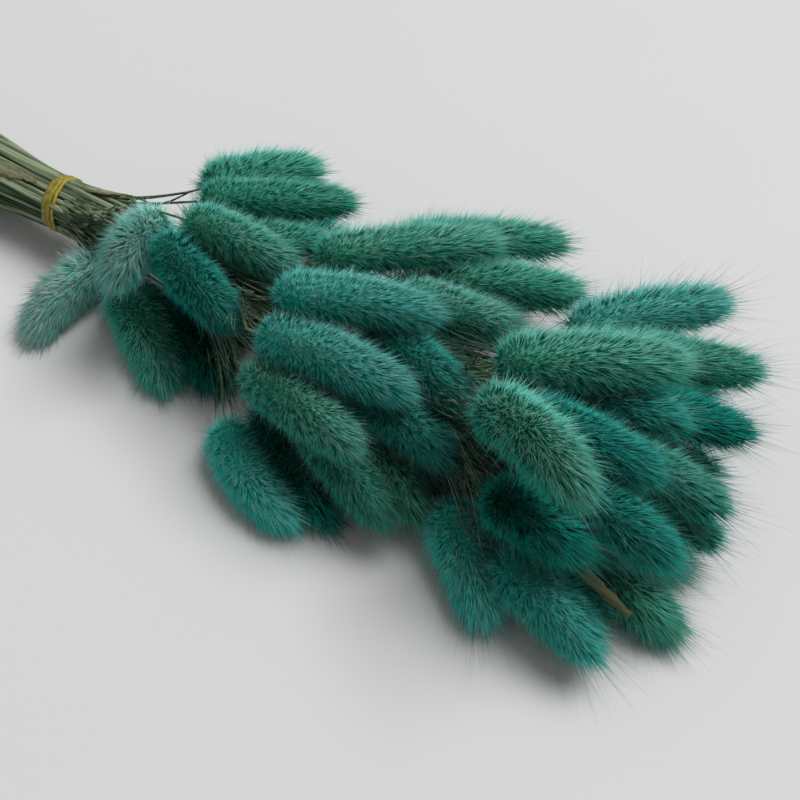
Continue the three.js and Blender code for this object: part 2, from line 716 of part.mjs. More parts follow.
// The origin goes under the middle of the bunch.
const bounds = new THREE.Box3().setFromObject(group);
const middle = bounds.getCenter(new THREE.Vector3());
group.position.set(-middle.x, -middle.y, -bounds.min.z);

export default group;
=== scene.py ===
"""A tied bunch of dried, dyed bunny tail grass that lies on a pale surface.

Each soft head stands for one head of the frame: a slender core that is planted full of fine hairs. The
stems, the leaf sheaths, the dry leaves and the rubber band lie where the frame has them. Lengths in the
layout are millimetres, from the tie on the surface; what is shown is in metres, in the frame's place.
"""

import logging
import math

from collections.abc import Iterator
from dataclasses import dataclass, field
from enum import Enum
from typing import Any, ClassVar

import bpy
import numpy as np
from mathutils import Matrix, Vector


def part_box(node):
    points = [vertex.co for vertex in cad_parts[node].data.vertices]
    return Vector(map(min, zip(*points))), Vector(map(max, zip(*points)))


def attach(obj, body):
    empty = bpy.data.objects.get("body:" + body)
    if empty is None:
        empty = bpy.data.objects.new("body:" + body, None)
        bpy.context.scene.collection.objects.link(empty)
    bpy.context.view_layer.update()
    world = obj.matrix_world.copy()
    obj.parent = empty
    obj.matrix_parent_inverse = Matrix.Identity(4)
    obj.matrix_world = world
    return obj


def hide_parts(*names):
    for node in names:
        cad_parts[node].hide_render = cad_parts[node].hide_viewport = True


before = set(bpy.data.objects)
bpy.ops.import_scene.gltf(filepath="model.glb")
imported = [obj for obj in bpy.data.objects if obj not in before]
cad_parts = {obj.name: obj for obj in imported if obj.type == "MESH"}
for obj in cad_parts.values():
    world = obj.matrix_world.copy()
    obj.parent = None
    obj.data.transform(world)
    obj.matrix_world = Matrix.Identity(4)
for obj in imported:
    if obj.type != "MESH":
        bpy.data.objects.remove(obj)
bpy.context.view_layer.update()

LOG = logging.getLogger("bunny_tail_grass")
MM = 0.001
BODY = "root"
BAKE_MAP = "OFBake"

Colour = tuple[float, float, float]
Faces = list[tuple[int, ...]]
Points = np.ndarray
Row = tuple[float, ...]
Span = tuple[float, float]


# Shader and geometry graphs


class Link:
    """An output socket that takes part in plain Python sums."""

    def __init__(self, graph: "Graph", socket: bpy.types.NodeSocket) -> None:
        """Wraps an output socket of a graph."""
        self.graph = graph
        self.socket = socket

    def __add__(self, other: "Link | float") -> "Link":
        """This number plus another."""
        return self.graph.maths("ADD", self, other)

    def __sub__(self, other: "Link | float") -> "Link":
        """This number less another."""
        return self.graph.maths("SUBTRACT", self, other)

    def __rsub__(self, other: float) -> "Link":
        """A plain number less this one."""
        return self.graph.maths("SUBTRACT", other, self)

    def __mul__(self, other: "Link | float") -> "Link":
        """This number times another."""
        return self.graph.maths("MULTIPLY", self, other)

    def __truediv__(self, other: "Link | float") -> "Link":
        """This number over another."""
        return self.graph.maths("DIVIDE", self, other)

    def __pow__(self, other: float) -> "Link":
        """This number to a power."""
        return self.graph.maths("POWER", self, other)

    def __mod__(self, other: float) -> "Link":
        """What is left of this number over another."""
        return self.graph.maths("MODULO", self, other)

    __radd__ = __add__
    __rmul__ = __mul__


class Graph:
    """A node tree, of a material or of geometry, that is built from Python."""

    def __init__(self, tree: bpy.types.NodeTree) -> None:
        """Takes over the tree that new nodes go into."""
        self.tree = tree

    def node(self, kind: str, inputs: dict[Any, Any] | None = None, **settings: Any) -> bpy.types.Node:
        """Adds one node.

        Args:
            kind: the node's type.
            inputs: values or links by a socket's name or number.
            settings: its properties, set first; stops holds a ramp's (place, colour) pairs.

        Returns:
            The node.
        """
        made = self.tree.nodes.new(kind)
        for name, value in settings.items():
            if name == "stops":
                self._set_stops(made.color_ramp, value)
            else:
                setattr(made, name, value)
        for key, value in (inputs or {}).items():
            self.feed(made.inputs[key], value)
        return made

    def out(
        self, kind: str, inputs: dict[Any, Any] | None = None, output: int | str = 0, **settings: Any
    ) -> Link:
        """Adds one node for the sake of one output.

        Args:
            kind: the node's type.
            inputs: values or links by a socket's name or number.
            output: the output's name or number.
            settings: the node's properties.

        Returns:
            The output.
        """
        return Link(self, self.node(kind, inputs, **settings).outputs[output])

    @staticmethod
    def _set_stops(ramp: bpy.types.ColorRamp, stops: list[tuple[float, Colour]]) -> None:
        """Sets a ramp's stops.

        Args:
            ramp: the ramp, which comes with two stops.
            stops: (place, colour) pairs in order.
        """
        while len(ramp.elements) < len(stops):
            ramp.elements.new(1.0)
        for element, (place, colour) in zip(ramp.elements, stops):
            element.position = place
            element.color = (*colour, 1.0)

    def feed(self, socket: bpy.types.NodeSocket, value: Any) -> None:
        """Links or sets one input.

        Args:
            socket: the input.
            value: a link or a plain value.
        """
        if isinstance(value, Link):
            self.tree.links.new(value.socket, socket)
        elif socket.type == "RGBA":
            socket.default_value = (*value, 1.0)
        else:
            socket.default_value = value

    def maths(self, operation: str, *values: Link | float) -> Link:
        """The result of one Math node on its values in order."""
        return self.out("ShaderNodeMath", dict(enumerate(values)), operation=operation)

    def vector(self, operation: str, *values: Any) -> Link:
        """Adds one Vector Math node.

        Args:
            operation: the node's operation. SCALE takes its second value as the scale.
            values: its inputs in order.

        Returns:
            The vector that comes out, or the number if it is a dot product.
        """
        keys = (0, "Scale") if operation == "SCALE" else range(len(values))
        output = "Value" if operation == "DOT_PRODUCT" else "Vector"
        return self.out("ShaderNodeVectorMath", dict(zip(keys, values)), output, operation=operation)

    def combine(self, *parts: Link | float) -> Link:
        """A vector of one to three parts."""
        return self.out("ShaderNodeCombineXYZ", dict(enumerate(parts)))

    def split(self, vector: Link) -> list[Link]:
        """The three parts of a vector."""
        made = self.node("ShaderNodeSeparateXYZ", {0: vector})
        return [Link(self, socket) for socket in made.outputs]

    def mix(self, share: Any, first: Any, second: Any, blend: str = "MIX") -> Link:
        """Mixes two colours.

        Args:
            share: how much of the second colour there is, held between 0 and 1.
            first: a colour or a link.
            second: a colour or a link.
            blend: the Mix node's way of blending.

        Returns:
            The colour that comes out.
        """
        inputs = {0: share, 6: first, 7: second}
        return self.out("ShaderNodeMix", inputs, 2, data_type="RGBA", blend_type=blend, clamp_factor=True)


class Surface(Graph):
    """A node material that is built round its main shader."""

    def __init__(self, name: str) -> None:
        """Starts a material of a name."""
        self.material = bpy.data.materials.new(name)
        self.material.use_nodes = True
        super().__init__(self.material.node_tree)

    def attribute(self, name: str) -> Link:
        """A number that the surface carries under a name."""
        return self.out("ShaderNodeAttribute", output="Fac", attribute_name=name)

    def noise(self, per_metre: Colour, detail: float = 2.0, rough: float = 0.5) -> Link:
        """Noise fixed to the piece.

        Args:
            per_metre: how many features there are in a metre, along X, Y and Z.
            detail: how many finer layers the noise has.
            rough: how strong the finer layers are.

        Returns:
            A number about 0.5.
        """
        scaled = self.vector("MULTIPLY", self.out("ShaderNodeTexCoord", output="Object"), per_metre)
        inputs = {"Vector": scaled, "Scale": 1.0, "Detail": detail, "Roughness": rough}
        return self.out("ShaderNodeTexNoise", inputs, "Fac")

    def relief(self, strength: float, distance: float, height: Link) -> Link:
        """A bumpy normal, its distance in metres."""
        return self.out("ShaderNodeBump", {"Strength": strength, "Distance": distance, "Height": height})

    def dress(self, inputs: dict[str, Any]) -> bpy.types.Material:
        """Feeds the main shader.

        Args:
            inputs: values or links by the name of the shader's socket.

        Returns:
            The finished material.
        """
        shader = self.tree.nodes["Principled BSDF"]
        for name, value in inputs.items():
            self.feed(shader.inputs[name], value)
        return self.material


def even(value: float) -> Colour:
    """One value three times: a grey, or a vector with equal parts."""
    return (value, value, value)


# Finishes


@dataclass(frozen=True)
class FurFinish:
    """Dyed hair, dark at its root and pale at its tip.

    Its shade follows the place between root and tip. That place shifts in patches, from hair to hair, in
    speckles near the root, and towards the pale tip where the head faces up: painted light from above.
    """

    name: str
    root: Colour
    middle: Colour
    tip: Colour
    stops: tuple[float, float, float] = (0.0, 0.45, 0.96)
    patches_per_metre: float = 140.0
    patchiness: float = 0.3
    speckles_per_metre: float = 2600.0
    speckling: float = 0.5
    unevenness: float = 0.12
    # Painted light: how far facing up stretches and shifts the hair towards its pale tip.
    painted_light_stretch: float = 0.3
    painted_light_shift: float = 0.1
    darkening: float = 0.7
    darkest: float = 0.8

    def build(self) -> bpy.types.Material:
        """Makes the material.

        Returns:
            The material.
        """
        surface = Surface(f"fur_{self.name}")
        shaft, tone, rise = (surface.attribute(name) for name in ("shaft", "tone", "rise"))
        patch = surface.noise(even(self.patches_per_metre), 1.0)
        speckle = surface.noise(even(self.speckles_per_metre))
        # The rise terms paint the upper side of the head lighter: painted light.
        place = shaft * (1.0 + self.painted_light_stretch * rise) + self.patchiness * (patch - 0.5)
        place = place + self.unevenness * (tone - 0.5)
        place = place + self.speckling * (speckle - 0.5) * (1.0 - shaft) + self.painted_light_shift * rise
        stops = list(zip(self.stops, (self.root, self.middle, self.tip)))
        colour = surface.out("ShaderNodeValToRGB", {0: place}, stops=stops)
        colour = surface.mix(self.darkening * (1.0 - tone), colour, even(self.darkest), "MULTIPLY")
        return surface.dress(
            {
                "Base Color": colour,
                "Roughness": 0.95 - 0.25 * shaft,
                "Specular IOR Level": 0.0,
                "Subsurface Weight": 0.5,
                "Subsurface Scale": 0.0006,
                "Subsurface Radius": (0.05, 1.0, 0.7),
                "Sheen Weight": 0.1,
                "Sheen Roughness": 0.45,
                "Sheen Tint": self.tip,
            }
        )


class DyeAndLight(Enum):
    """The heads' shades: their dye, and painted light or painted shade on some heads."""

    # Painted light: the palest head, lightened further because it lies in shade.
    LIT_MINT = FurFinish("lit_pale_mint", (0.080, 0.680, 0.530), (0.240, 0.880, 0.720), (0.68, 0.95, 0.84))
    PALE = FurFinish("pale_teal", (0.040, 0.390, 0.300), (0.130, 0.550, 0.435), (0.41, 0.68, 0.58))
    # Painted light: lightened for heads that lie in shade at the front of the bunch.
    LIGHT = FurFinish("lit_bright_teal", (0.003, 0.580, 0.450), (0.006, 0.740, 0.590), (0.24, 0.76, 0.66))
    FRESH = FurFinish("fresh_green", (0.001, 0.300, 0.180), (0.003, 0.470, 0.305), (0.25, 0.67, 0.48))
    # Painted light: lightened for a low head in the shade of the others.
    LIT_TEAL = FurFinish("teal", (0.001, 0.340, 0.270), (0.003, 0.450, 0.355), (0.14, 0.50, 0.43))
    BLUE = FurFinish("blue_teal", (0.001, 0.240, 0.183), (0.003, 0.305, 0.238), (0.17, 0.37, 0.32))
    SAGE = FurFinish("sage_green", (0.002, 0.170, 0.102), (0.008, 0.265, 0.162), (0.19, 0.37, 0.265))
    DEEP = FurFinish("deep_teal", (0.0005, 0.105, 0.080), (0.001, 0.152, 0.116), (0.055, 0.225, 0.178))
    GREEN = FurFinish("green_teal", (0.001, 0.150, 0.084), (0.004, 0.220, 0.127), (0.12, 0.30, 0.195))
    INK = FurFinish("ink_teal", (0.0003, 0.065, 0.050), (0.0006, 0.098, 0.076), (0.03, 0.175, 0.14))
    # Painted shade: darkened for heads in the shade of others.
    SHADED_MOSS = FurFinish("shaded_moss_green", (0.0005, 0.095, 0.060), (0.002, 0.140, 0.090), (0.10, 0.26, 0.18))
    # Painted shade: darkened for the heads inside the bunch and in its recesses.
    DARK = FurFinish("shaded_dark_teal", (0.0004, 0.050, 0.034), (0.0007, 0.074, 0.052), (0.01, 0.13, 0.093))


@dataclass(frozen=True)
class AwnFinish:
    """The long bristles out of the fur, with a little of the dye. A few are pale, with a painted glint."""

    root: Colour = (0.01, 0.15, 0.11)
    tip: Colour = (0.19, 0.38, 0.30)
    pale_glint: Colour = (0.80, 0.80, 0.68)
    pale_glint_above: float = 0.93
    pale_glint_contrast: float = 12.0
    least_tip: float = 0.4

    def build(self) -> bpy.types.Material:
        """Makes the material.

        Returns:
            The material.
        """
        surface = Surface("awn_bristle")
        shaft, tone = surface.attribute("shaft"), surface.attribute("tone")
        colour = surface.mix(shaft * (self.least_tip + (1.0 - self.least_tip) * tone), self.root, self.tip)
        # Painted glint: a few bristles, picked at random, turn near white; partly pale bristles, partly
        # glint.
        colour = surface.mix((tone - self.pale_glint_above) * self.pale_glint_contrast, colour, self.pale_glint)
        return surface.dress(
            {"Base Color": colour, "Roughness": 0.75 - 0.3 * tone, "Specular IOR Level": 0.4}
        )


@dataclass(frozen=True)
class StrawFinish:
    """Dry grass, streaked along its length and browned in blotches: sheaths, stalks and leaves.

    The grooves between its fibres are darker: painted shade.
    """

    name: str
    pale: Colour
    deep: Colour
    brown: Colour
    browning: float = 0.3
    brownest: float = 0.85
    streaks: Colour = (14.0, 405.0, 405.0)
    fibres: Colour = (26.0, 1710.0, 1710.0)
    blotches: Colour = (90.0, 240.0, 240.0)
    groove_shade: float = 0.3
    streak_contrast: float = 3.4
    streak_shift: float = 1.25
    tone_shift: float = 1.1
    aged_above: float = 0.66
    aging_contrast: float = 5.0
    grooved_below: float = 0.6
    groove_contrast: float = 2.6

    def build(self) -> bpy.types.Material:
        """Makes the material.

        Returns:
            The material.
        """
        surface = Surface(self.name)
        tone = surface.attribute("tone")
        streak = surface.noise(self.streaks)
        fibre = surface.noise(self.fibres, 2.0, 0.6)
        blotch = surface.noise(self.blotches, 3.0, 0.6)
        paleness = streak * self.streak_contrast - self.streak_shift + self.tone_shift * (tone - 0.5)
        colour = surface.mix(paleness, self.deep, self.pale)
        aged = (blotch + tone * self.browning - self.aged_above) * self.aging_contrast
        colour = surface.mix(surface.maths("MINIMUM", aged, self.brownest), colour, self.brown)
        # Painted shade: the grooves between the fibres are darkened.
        groove = (self.grooved_below - fibre) * self.groove_contrast
        colour = surface.mix(groove, colour, even(self.groove_shade), "MULTIPLY")
        return surface.dress(
            {
                "Base Color": colour,
                "Roughness": 0.62 + 0.3 * blotch,
                "Normal": surface.relief(0.5, 0.0003, fibre + 0.5 * streak),
                "Specular IOR Level": 0.3,
            }
        )


STALK = StrawFinish("dry_stalk", (0.22, 0.27, 0.15), (0.040, 0.090, 0.042), (0.14, 0.11, 0.055), 0.05)
STRAND = StrawFinish("loose_strand", (0.20, 0.30, 0.20), (0.008, 0.075, 0.045), (0.06, 0.10, 0.05), 0.0)
# Painted shade: the inner strands are darkened to the shade between the tiers.
SHADED_INNER = StrawFinish("inner_strand", (0.030, 0.100, 0.060), (0.001, 0.034, 0.021), (0.02, 0.05, 0.03), 0.0)
SHEATH = StrawFinish("leaf_sheath", (0.31, 0.37, 0.22), (0.024, 0.070, 0.028), (0.15, 0.12, 0.065), 0.08)
SCRAP = StrawFinish("leaf_scrap", (0.21, 0.26, 0.155), (0.028, 0.058, 0.028), (0.09, 0.080, 0.042), 0.10)
LEAF = StrawFinish("dry_leaf", (0.25, 0.25, 0.14), (0.060, 0.085, 0.040), (0.13, 0.12, 0.065), 0.22)
TAN = StrawFinish("tan_leaf", (0.37, 0.30, 0.16), (0.085, 0.100, 0.042), (0.24, 0.175, 0.085), 0.35)


@dataclass(frozen=True)
class RubberFinish:
    """Yellow rubber, a little dusty; its tone lightens it, a painted highlight."""

    bright: Colour = (0.40, 0.32, 0.022)
    dull: Colour = (0.13, 0.115, 0.020)
    rubbed: Colour = (0.74, 0.60, 0.16)
    dust_contrast: float = 1.8
    dust_shift: float = 0.2
    painted_highlight: float = 0.6
    wear_contrast: float = 3.0
    wear_shift: float = 1.7

    def build(self) -> bpy.types.Material:
        """Makes the material.

        Returns:
            The material.
        """
        surface = Surface("rubber")
        dust = surface.noise(even(700.0), 4.0, 0.6)
        wear = surface.noise((150.0, 400.0, 400.0), 3.0)
        # Dust makes the rubber duller; a higher tone makes it lighter, a painted highlight.
        dust_and_highlight = dust * self.dust_contrast - self.dust_shift - self.painted_highlight * surface.attribute("tone")
        colour = surface.mix(dust_and_highlight, self.bright, self.dull)
        colour = surface.mix(wear * self.wear_contrast - self.wear_shift, colour, self.rubbed)
        return surface.dress(
            {
                "Base Color": colour,
                "Roughness": 0.35 + 0.35 * dust,
                "Normal": surface.relief(0.3, 0.0002, dust),
            }
        )


@dataclass(frozen=True)
class FloorFinish:
    """A plain pale painted surface, faintly clouded."""

    colour: float = 0.66
    clouding: float = 0.015

    def build(self) -> bpy.types.Material:
        """Makes the material.

        Returns:
            The material.
        """
        surface = Surface("pale_floor")
        darker, lighter = (even(self.colour * (1 + sign * self.clouding)) for sign in (-1, 1))
        tint = surface.mix(surface.noise(even(6.0)), darker, lighter)
        return surface.dress({"Base Color": tint, "Roughness": 0.9, "Specular IOR Level": 0.1})


# The layout, by the same rule as the solids

CUT_END_X = -138.0
CUT_END_RAGGED = 7.0
TIE_RADIUS = 6.6
TIE_HALF = 9.0
SHEATH_RADIUS = 1.05
STALK_RADIUS = 0.72
BEND_OFF = 30.0
SEAT_GAP = 0.3
HEAD_PRESS = 0.84
STEP = 4.0
PRESSED = 1.2
LOWEST_LEAF = 0.2
LOWEST_LINE = 0.4

# X, Y and Z of the middle of the bundle, and X and how far the stems spread sideways and upwards
TRUNK: list[Row] = [
    (-150, 2, 8.4), (-60, 1, 13), (0, 0, 17), (40, -1, 21), (92, -5, 24), (150, -6, 26), (200, -6, 26),
]
SPREAD: list[Row] = [
    (-150, 19, 8.6), (-60, 13.5, 9.5), (-8, TIE_RADIUS, TIE_RADIUS), (8, TIE_RADIUS, TIE_RADIUS),
    (40, 8, 7.5), (85, 11, 9), (115, 9, 7.5), (150, 13, 10),
]

# Base x, y, z, heading, pitch, length, girth, turn and dip of each head, as in the solids, and its dye;
# for some heads that shade also holds painted light or painted shade
LOWER_TIER = [
    (47, -1, 33, -75, 8, 29, 15.4, 10, -50, DyeAndLight.PALE),
    (51, -7, 37, -19, -3, 37, 15.4, 4, -8, DyeAndLight.DEEP),
    (58, -5, 41, 7, -7, 34, 15.2, 6, -12, DyeAndLight.SAGE),
    (41, 22, 28, 45, 0, 36, 14.8, -8, -10, DyeAndLight.GREEN),
    (48, 12, 30, 42, -9, 49, 14.8, 6, -10, DyeAndLight.GREEN),
    (56, 14, 26, 30, -7, 38, 14, 4, -6, DyeAndLight.GREEN),
    (26, -11, 16, -96, -13, 33, 14, 41, -14, DyeAndLight.LIT_MINT),
    (34, -13, 13, -31, -7, 42, 14.8, -14, -4, DyeAndLight.FRESH),
    (49, -9, 12, -28, -6, 37, 14, -6, -4, DyeAndLight.DARK),
    (50, 6, 9, 10, -3, 37, 14, 5, 0, DyeAndLight.DARK),
    (46, 18, 11, 40, -5, 42, 14.8, 6, 0, DyeAndLight.DARK),
    (38, 14, 12, 74, -6, 36, 14, 10, 0, DyeAndLight.DARK),
]
MIDDLE_TIER = [
    (100, -15, 44, 27, -3, 45, 15.2, -10, -12, DyeAndLight.BLUE),
    (101, -24, 41, 7, -2, 46, 16, -4, -12, DyeAndLight.BLUE),
    (101, -30, 32, -9, 1, 41, 15.4, -6, -6, DyeAndLight.SAGE),
    (97, -38, 13, -22, -6, 37, 15.4, 32, 6, DyeAndLight.LIGHT),
    (102, 38, 24, 41, -8, 55, 13.5, -14, -8, DyeAndLight.GREEN),
    (94, 11, 31, 45, -6, 57, 15.2, -8, -8, DyeAndLight.SAGE),
    (117, 33, 26, 32, -7, 46, 14.8, -6, -6, DyeAndLight.GREEN),
    (115, 22, 24, 16, -6, 38, 14.8, 4, -6, DyeAndLight.SAGE),
    (122, -2, 34, -11, 0, 35, 14.8, -8, -6, DyeAndLight.DEEP),
    (128, -18, 30, -5, -8, 34, 14.8, -8, -8, DyeAndLight.DEEP),
    (120, -29, 18, -18, -12, 34, 14.8, -8, -6, DyeAndLight.GREEN),
    (130, -17, 14, -24, -9, 33, 14, -6, -4, DyeAndLight.GREEN),
    (103, -30, 16, -25, -9, 39, 14.8, 0, -4, DyeAndLight.DARK),
    (104, 28, 10, 40, -3, 48, 14.8, -6, 0, DyeAndLight.DARK),
    (108, 6, 9, 15, -3, 45, 14.8, -6, 0, DyeAndLight.DARK),
    (106, -12, 9, -8, -3, 42, 14.8, -4, 0, DyeAndLight.DARK),
]
TOP_TIER = [
    (166, 31, 29, 51, -4, 52, 15.2, -10, -8, DyeAndLight.BLUE),
    (161, -2, 46, 33, 0, 50, 16, -8, -8, DyeAndLight.SAGE),
    (176, 32, 28, 28, -5, 45, 15.4, -6, -8, DyeAndLight.GREEN),
    (181, 18, 27, 21, -8, 45, 15.4, -4, -8, DyeAndLight.DARK),
    (174, 9, 34, 10, 4, 35, 14.8, 0, -8, DyeAndLight.DEEP),
    (171, -9, 42, 2, 0, 40, 15.4, -6, -10, DyeAndLight.INK),
    (186, 2, 28, 4, -7, 41, 15.2, -4, -8, DyeAndLight.SHADED_MOSS),
    (166, -14, 46, -24, 12, 41, 18, -12, -30, DyeAndLight.SAGE),
    (188, -17, 34, -7, -2, 36, 15.2, -4, -8, DyeAndLight.INK),
    (191, -4, 15, 0, -4, 42, 15.2, 4, -4, DyeAndLight.SHADED_MOSS),
    (190, -23, 17, 12, -8, 37, 14.8, 4, -4, DyeAndLight.SHADED_MOSS),
    (177, -25.5, 29, -5, 4, 26, 14.8, -4, -6, DyeAndLight.DARK),
    (187, -32.5, 15, -16, -6, 35, 16.5, -6, -4, DyeAndLight.LIT_TEAL),
    (166, -24, 15, -39, -8, 34, 17, -16, -6, DyeAndLight.LIGHT),
    (181, -15, 9, -34, -4, 31, 14.8, -8, 0, DyeAndLight.DARK),
    (193, -5, 9, -14, -5, 29, 14, 0, 0, DyeAndLight.GREEN),
    (171, 28, 10, 42, -3, 46, 14.8, -6, 0, DyeAndLight.DARK),
    (178, 12, 9, 20, -3, 44, 14.8, -4, 0, DyeAndLight.DARK),
    (180, -4, 9, 2, -3, 42, 14, 0, 0, DyeAndLight.DARK),
]
TIERS = {"lower": LOWER_TIER, "middle": MIDDLE_TIER, "top": TOP_TIER}

# Leaves on the bundle: x, angle round it, lift and width
BUNDLE_LEAVES: dict[str, list[Row]] = {
    "leaf_behind_tie_top": [
        (-54, 46, 0.1, 1.6), (-44, 44, 0.1, 3.6), (-32, 40, 0.1, 4.4), (-20, 38, 0.2, 3.8),
        (-10, 36, 0.4, 1.4),
    ],
    "leaf_behind_tie_front": [
        (-48, 122, 0.1, 2), (-38, 120, 0.1, 4.2), (-26, 116, 0.1, 4.8), (-16, 110, 0.2, 3.6),
        (-8, 106, 0.4, 1.2),
    ],
    "leaf_past_tie_top": [(4.5, 66, 0.2, 2.8), (10, 62, 0.2, 4.2), (17, 58, 0.4, 3.8), (22, 56, 0.9, 1.6)],
    "leaf_past_tie_front": [(4, 150, 0.2, 2.2), (9, 158, 0.3, 3), (14, 168, 0.6, 2.4), (18, 178, 1.2, 1.2)],
    "leaf_past_tie_under": [(5, 205, 0.2, 2.2), (9, 212, 0.4, 2.8), (13, 220, 1, 1.8)],
    "leaf_stub": [(24, 84, 0.3, 2.6), (29, 82, 0.6, 3), (34, 80, 1.8, 2.6)],
}

# The leaf in the top tier: x, y, z and width
TIER_LEAF: list[Row] = [
    (190, -21, 23, 1.2), (197, -26, 24, 2.6), (204, -29.5, 24, 3.6), (212, -32, 24, 3.8),
    (220.5, -33.5, 22.5, 2.4),
]
TIER_LEAF_FACING = (0.1, -0.5, 0.85)


def seeded_random(seed: int) -> Iterator[float]:
    """The same repeatable stream of numbers from 0 to 1 as the solids draw on.

    Args:
        seed: the stream's seed.

    Yields:
        The next number.
    """
    whole = 0xFFFFFFFF
    state = seed & whole
    while True:
        state = (state + 0x6D2B79F5) & whole
        t = ((state ^ (state >> 15)) * (state | 1)) & whole
        t ^= (t + (t ^ (t >> 7)) * (t | 61)) & whole
        yield ((t ^ (t >> 14)) & whole) / (whole + 1)


def along_x(rows: list[Row], x: float, column: int) -> float:
    """A value read off rows by straight lines between them."""
    return float(np.interp(x, [row[0] for row in rows], [row[column] for row in rows]))


def trunk_point(x: float) -> Points:
    """The middle of the bundle of stems at a place along X."""
    return np.array([x, along_x(TRUNK, x, 1), along_x(TRUNK, x, 2)])


def unit(vector: Points) -> Points:
    """Vectors of length one."""
    return vector / np.maximum(np.linalg.norm(vector, axis=-1, keepdims=True), 1e-12)


def run_of(line: Points) -> Points:
    """How far along a line each of its points lies."""
    return np.append(0, np.cumsum(np.linalg.norm(np.diff(line, axis=0), axis=1)))


def read_off(at: Points, run: Points, line: Points) -> Points:
    """The points of a line at places along it."""
    return np.column_stack([np.interp(at, run, line[:, k]) for k in range(line.shape[1])])


@dataclass(frozen=True)
class Profile:
    """How far a head reaches out along its length, as a share of its largest reach."""

    start: float
    shoulder: float
    widest: float
    narrowing: float = 0.5

    def at(self, u: Points) -> Points:
        """The share at places from 0, the head's base, to 1, its tip."""
        rounded = np.sin(np.pi / 2 * np.clip((u + self.start) / self.shoulder, 0, 1))
        return rounded * (1 - self.narrowing * np.clip((u - self.widest) / (1 - self.widest), 0, 1) ** 2)


SOLID_PROFILE = Profile(0.06, 0.26, 0.35)
PLUME_PROFILE = Profile(0.04, 0.2, 0.4)


@dataclass(frozen=True)
class Coat:
    """How a head's fur differs from the usual, each size a share of the usual one.

    The last field, in millimetres, is how much longer than at its base the shortest fur is at its tip.
    """

    girth: float = 1.0
    count: float = 1.0
    length: float = 1.0
    sweep: float = 1.0
    tousle: float = 1.0
    tip_pile: float = 2.6


COVERED_COAT = Coat(count=0.35, length=2.3, tousle=1.8, tip_pile=0.0)
COATS = {
    "head_lower_01": Coat(length=1.25, sweep=1.2, tousle=1.2),
    "head_lower_04": Coat(girth=1.08, length=1.2, tousle=1.4),
    "head_lower_06": Coat(count=0.8),
    "head_lower_07": Coat(length=1.45, sweep=1.3, tousle=1.3),
    "head_lower_08": Coat(girth=1.12, length=1.4, sweep=1.2, tousle=1.5),
    "head_lower_09": Coat(count=0.8, length=1.6, tousle=1.8),
    "head_middle_04": Coat(length=1.2),
    "head_middle_05": Coat(length=1.25),
    "head_middle_06": Coat(length=1.15),
    "head_middle_07": Coat(length=1.25),
    "head_middle_09": Coat(count=0.85),
    "head_middle_12": Coat(count=0.8, length=1.5, tousle=1.6),
    "head_middle_13": Coat(count=0.7, length=1.6, tousle=1.8),
    "head_top_01": Coat(girth=1.06, length=1.12),
    "head_top_02": Coat(girth=1.06, length=1.1),
    "head_top_05": Coat(count=0.85),
    "head_top_08": Coat(girth=0.84, length=1.3, sweep=1.25, tousle=1.5),
    "head_top_10": Coat(count=0.75),
    "head_top_11": Coat(count=0.85, length=1.3),
    "head_top_12": Coat(length=1.3),
    "head_top_14": Coat(length=1.2),
    "head_top_15": Coat(count=0.7, length=1.6, tousle=1.8),
    "head_top_16": Coat(count=0.8, length=1.5),
}
SHOWN_HEADS = (9, 13, 16)


@dataclass
class Head:
    """One flower head: how it lies, and the line of its stem."""

    tier: int
    number: int
    base: Points
    heading: float
    pitch: float
    length: float
    girth: float
    turn: float
    dip: float
    # The head's shade: its dye, with painted light or painted shade for some heads.
    dye: DyeAndLight
    share: float = 0.0
    angle: float = 0.0
    line: Points = field(default_factory=lambda: np.zeros((0, 3)))

    def __post_init__(self) -> None:
        """Names the head, keeps the height that it was placed at and picks its coat."""
        self.name = f"head_{list(TIERS)[self.tier]}_{self.number:02d}"
        self.seed = 88 + 97 * self.tier + 13 * self.number
        self.placed_z = self.base[2]
        covered = self.number > SHOWN_HEADS[self.tier]
        self.coat = COVERED_COAT if covered else COATS.get(self.name, Coat())

    def direction(self, u: float) -> Points:
        """How the head points at a share of its length."""
        heading = math.radians(self.heading + self.turn * (u - 0.5))
        pitch = math.radians(self.pitch + self.dip * (u - 0.5))
        flat = math.cos(pitch)
        return np.array([flat * math.cos(heading), flat * math.sin(heading), math.sin(pitch)])

    def middle_line(self, count: int) -> Points:
        """Points along the middle of the head, from base to tip.

        Args:
            count: how many points.

        Returns:
            An array of points.
        """
        steps = [self.direction((i - 0.5) / (count - 1)) * self.length / (count - 1) for i in range(1, count)]
        return np.vstack([self.base, self.base + np.cumsum(steps, axis=0)])

    def stem_radius(self, x: float) -> float:
        """The stem's radius at a place along X."""
        bare = (x - TIE_HALF) / max(20.0, self.base[0] - BEND_OFF)
        return SHEATH_RADIUS + (STALK_RADIUS - SHEATH_RADIUS) * min(max(bare, 0.0), 1.0)


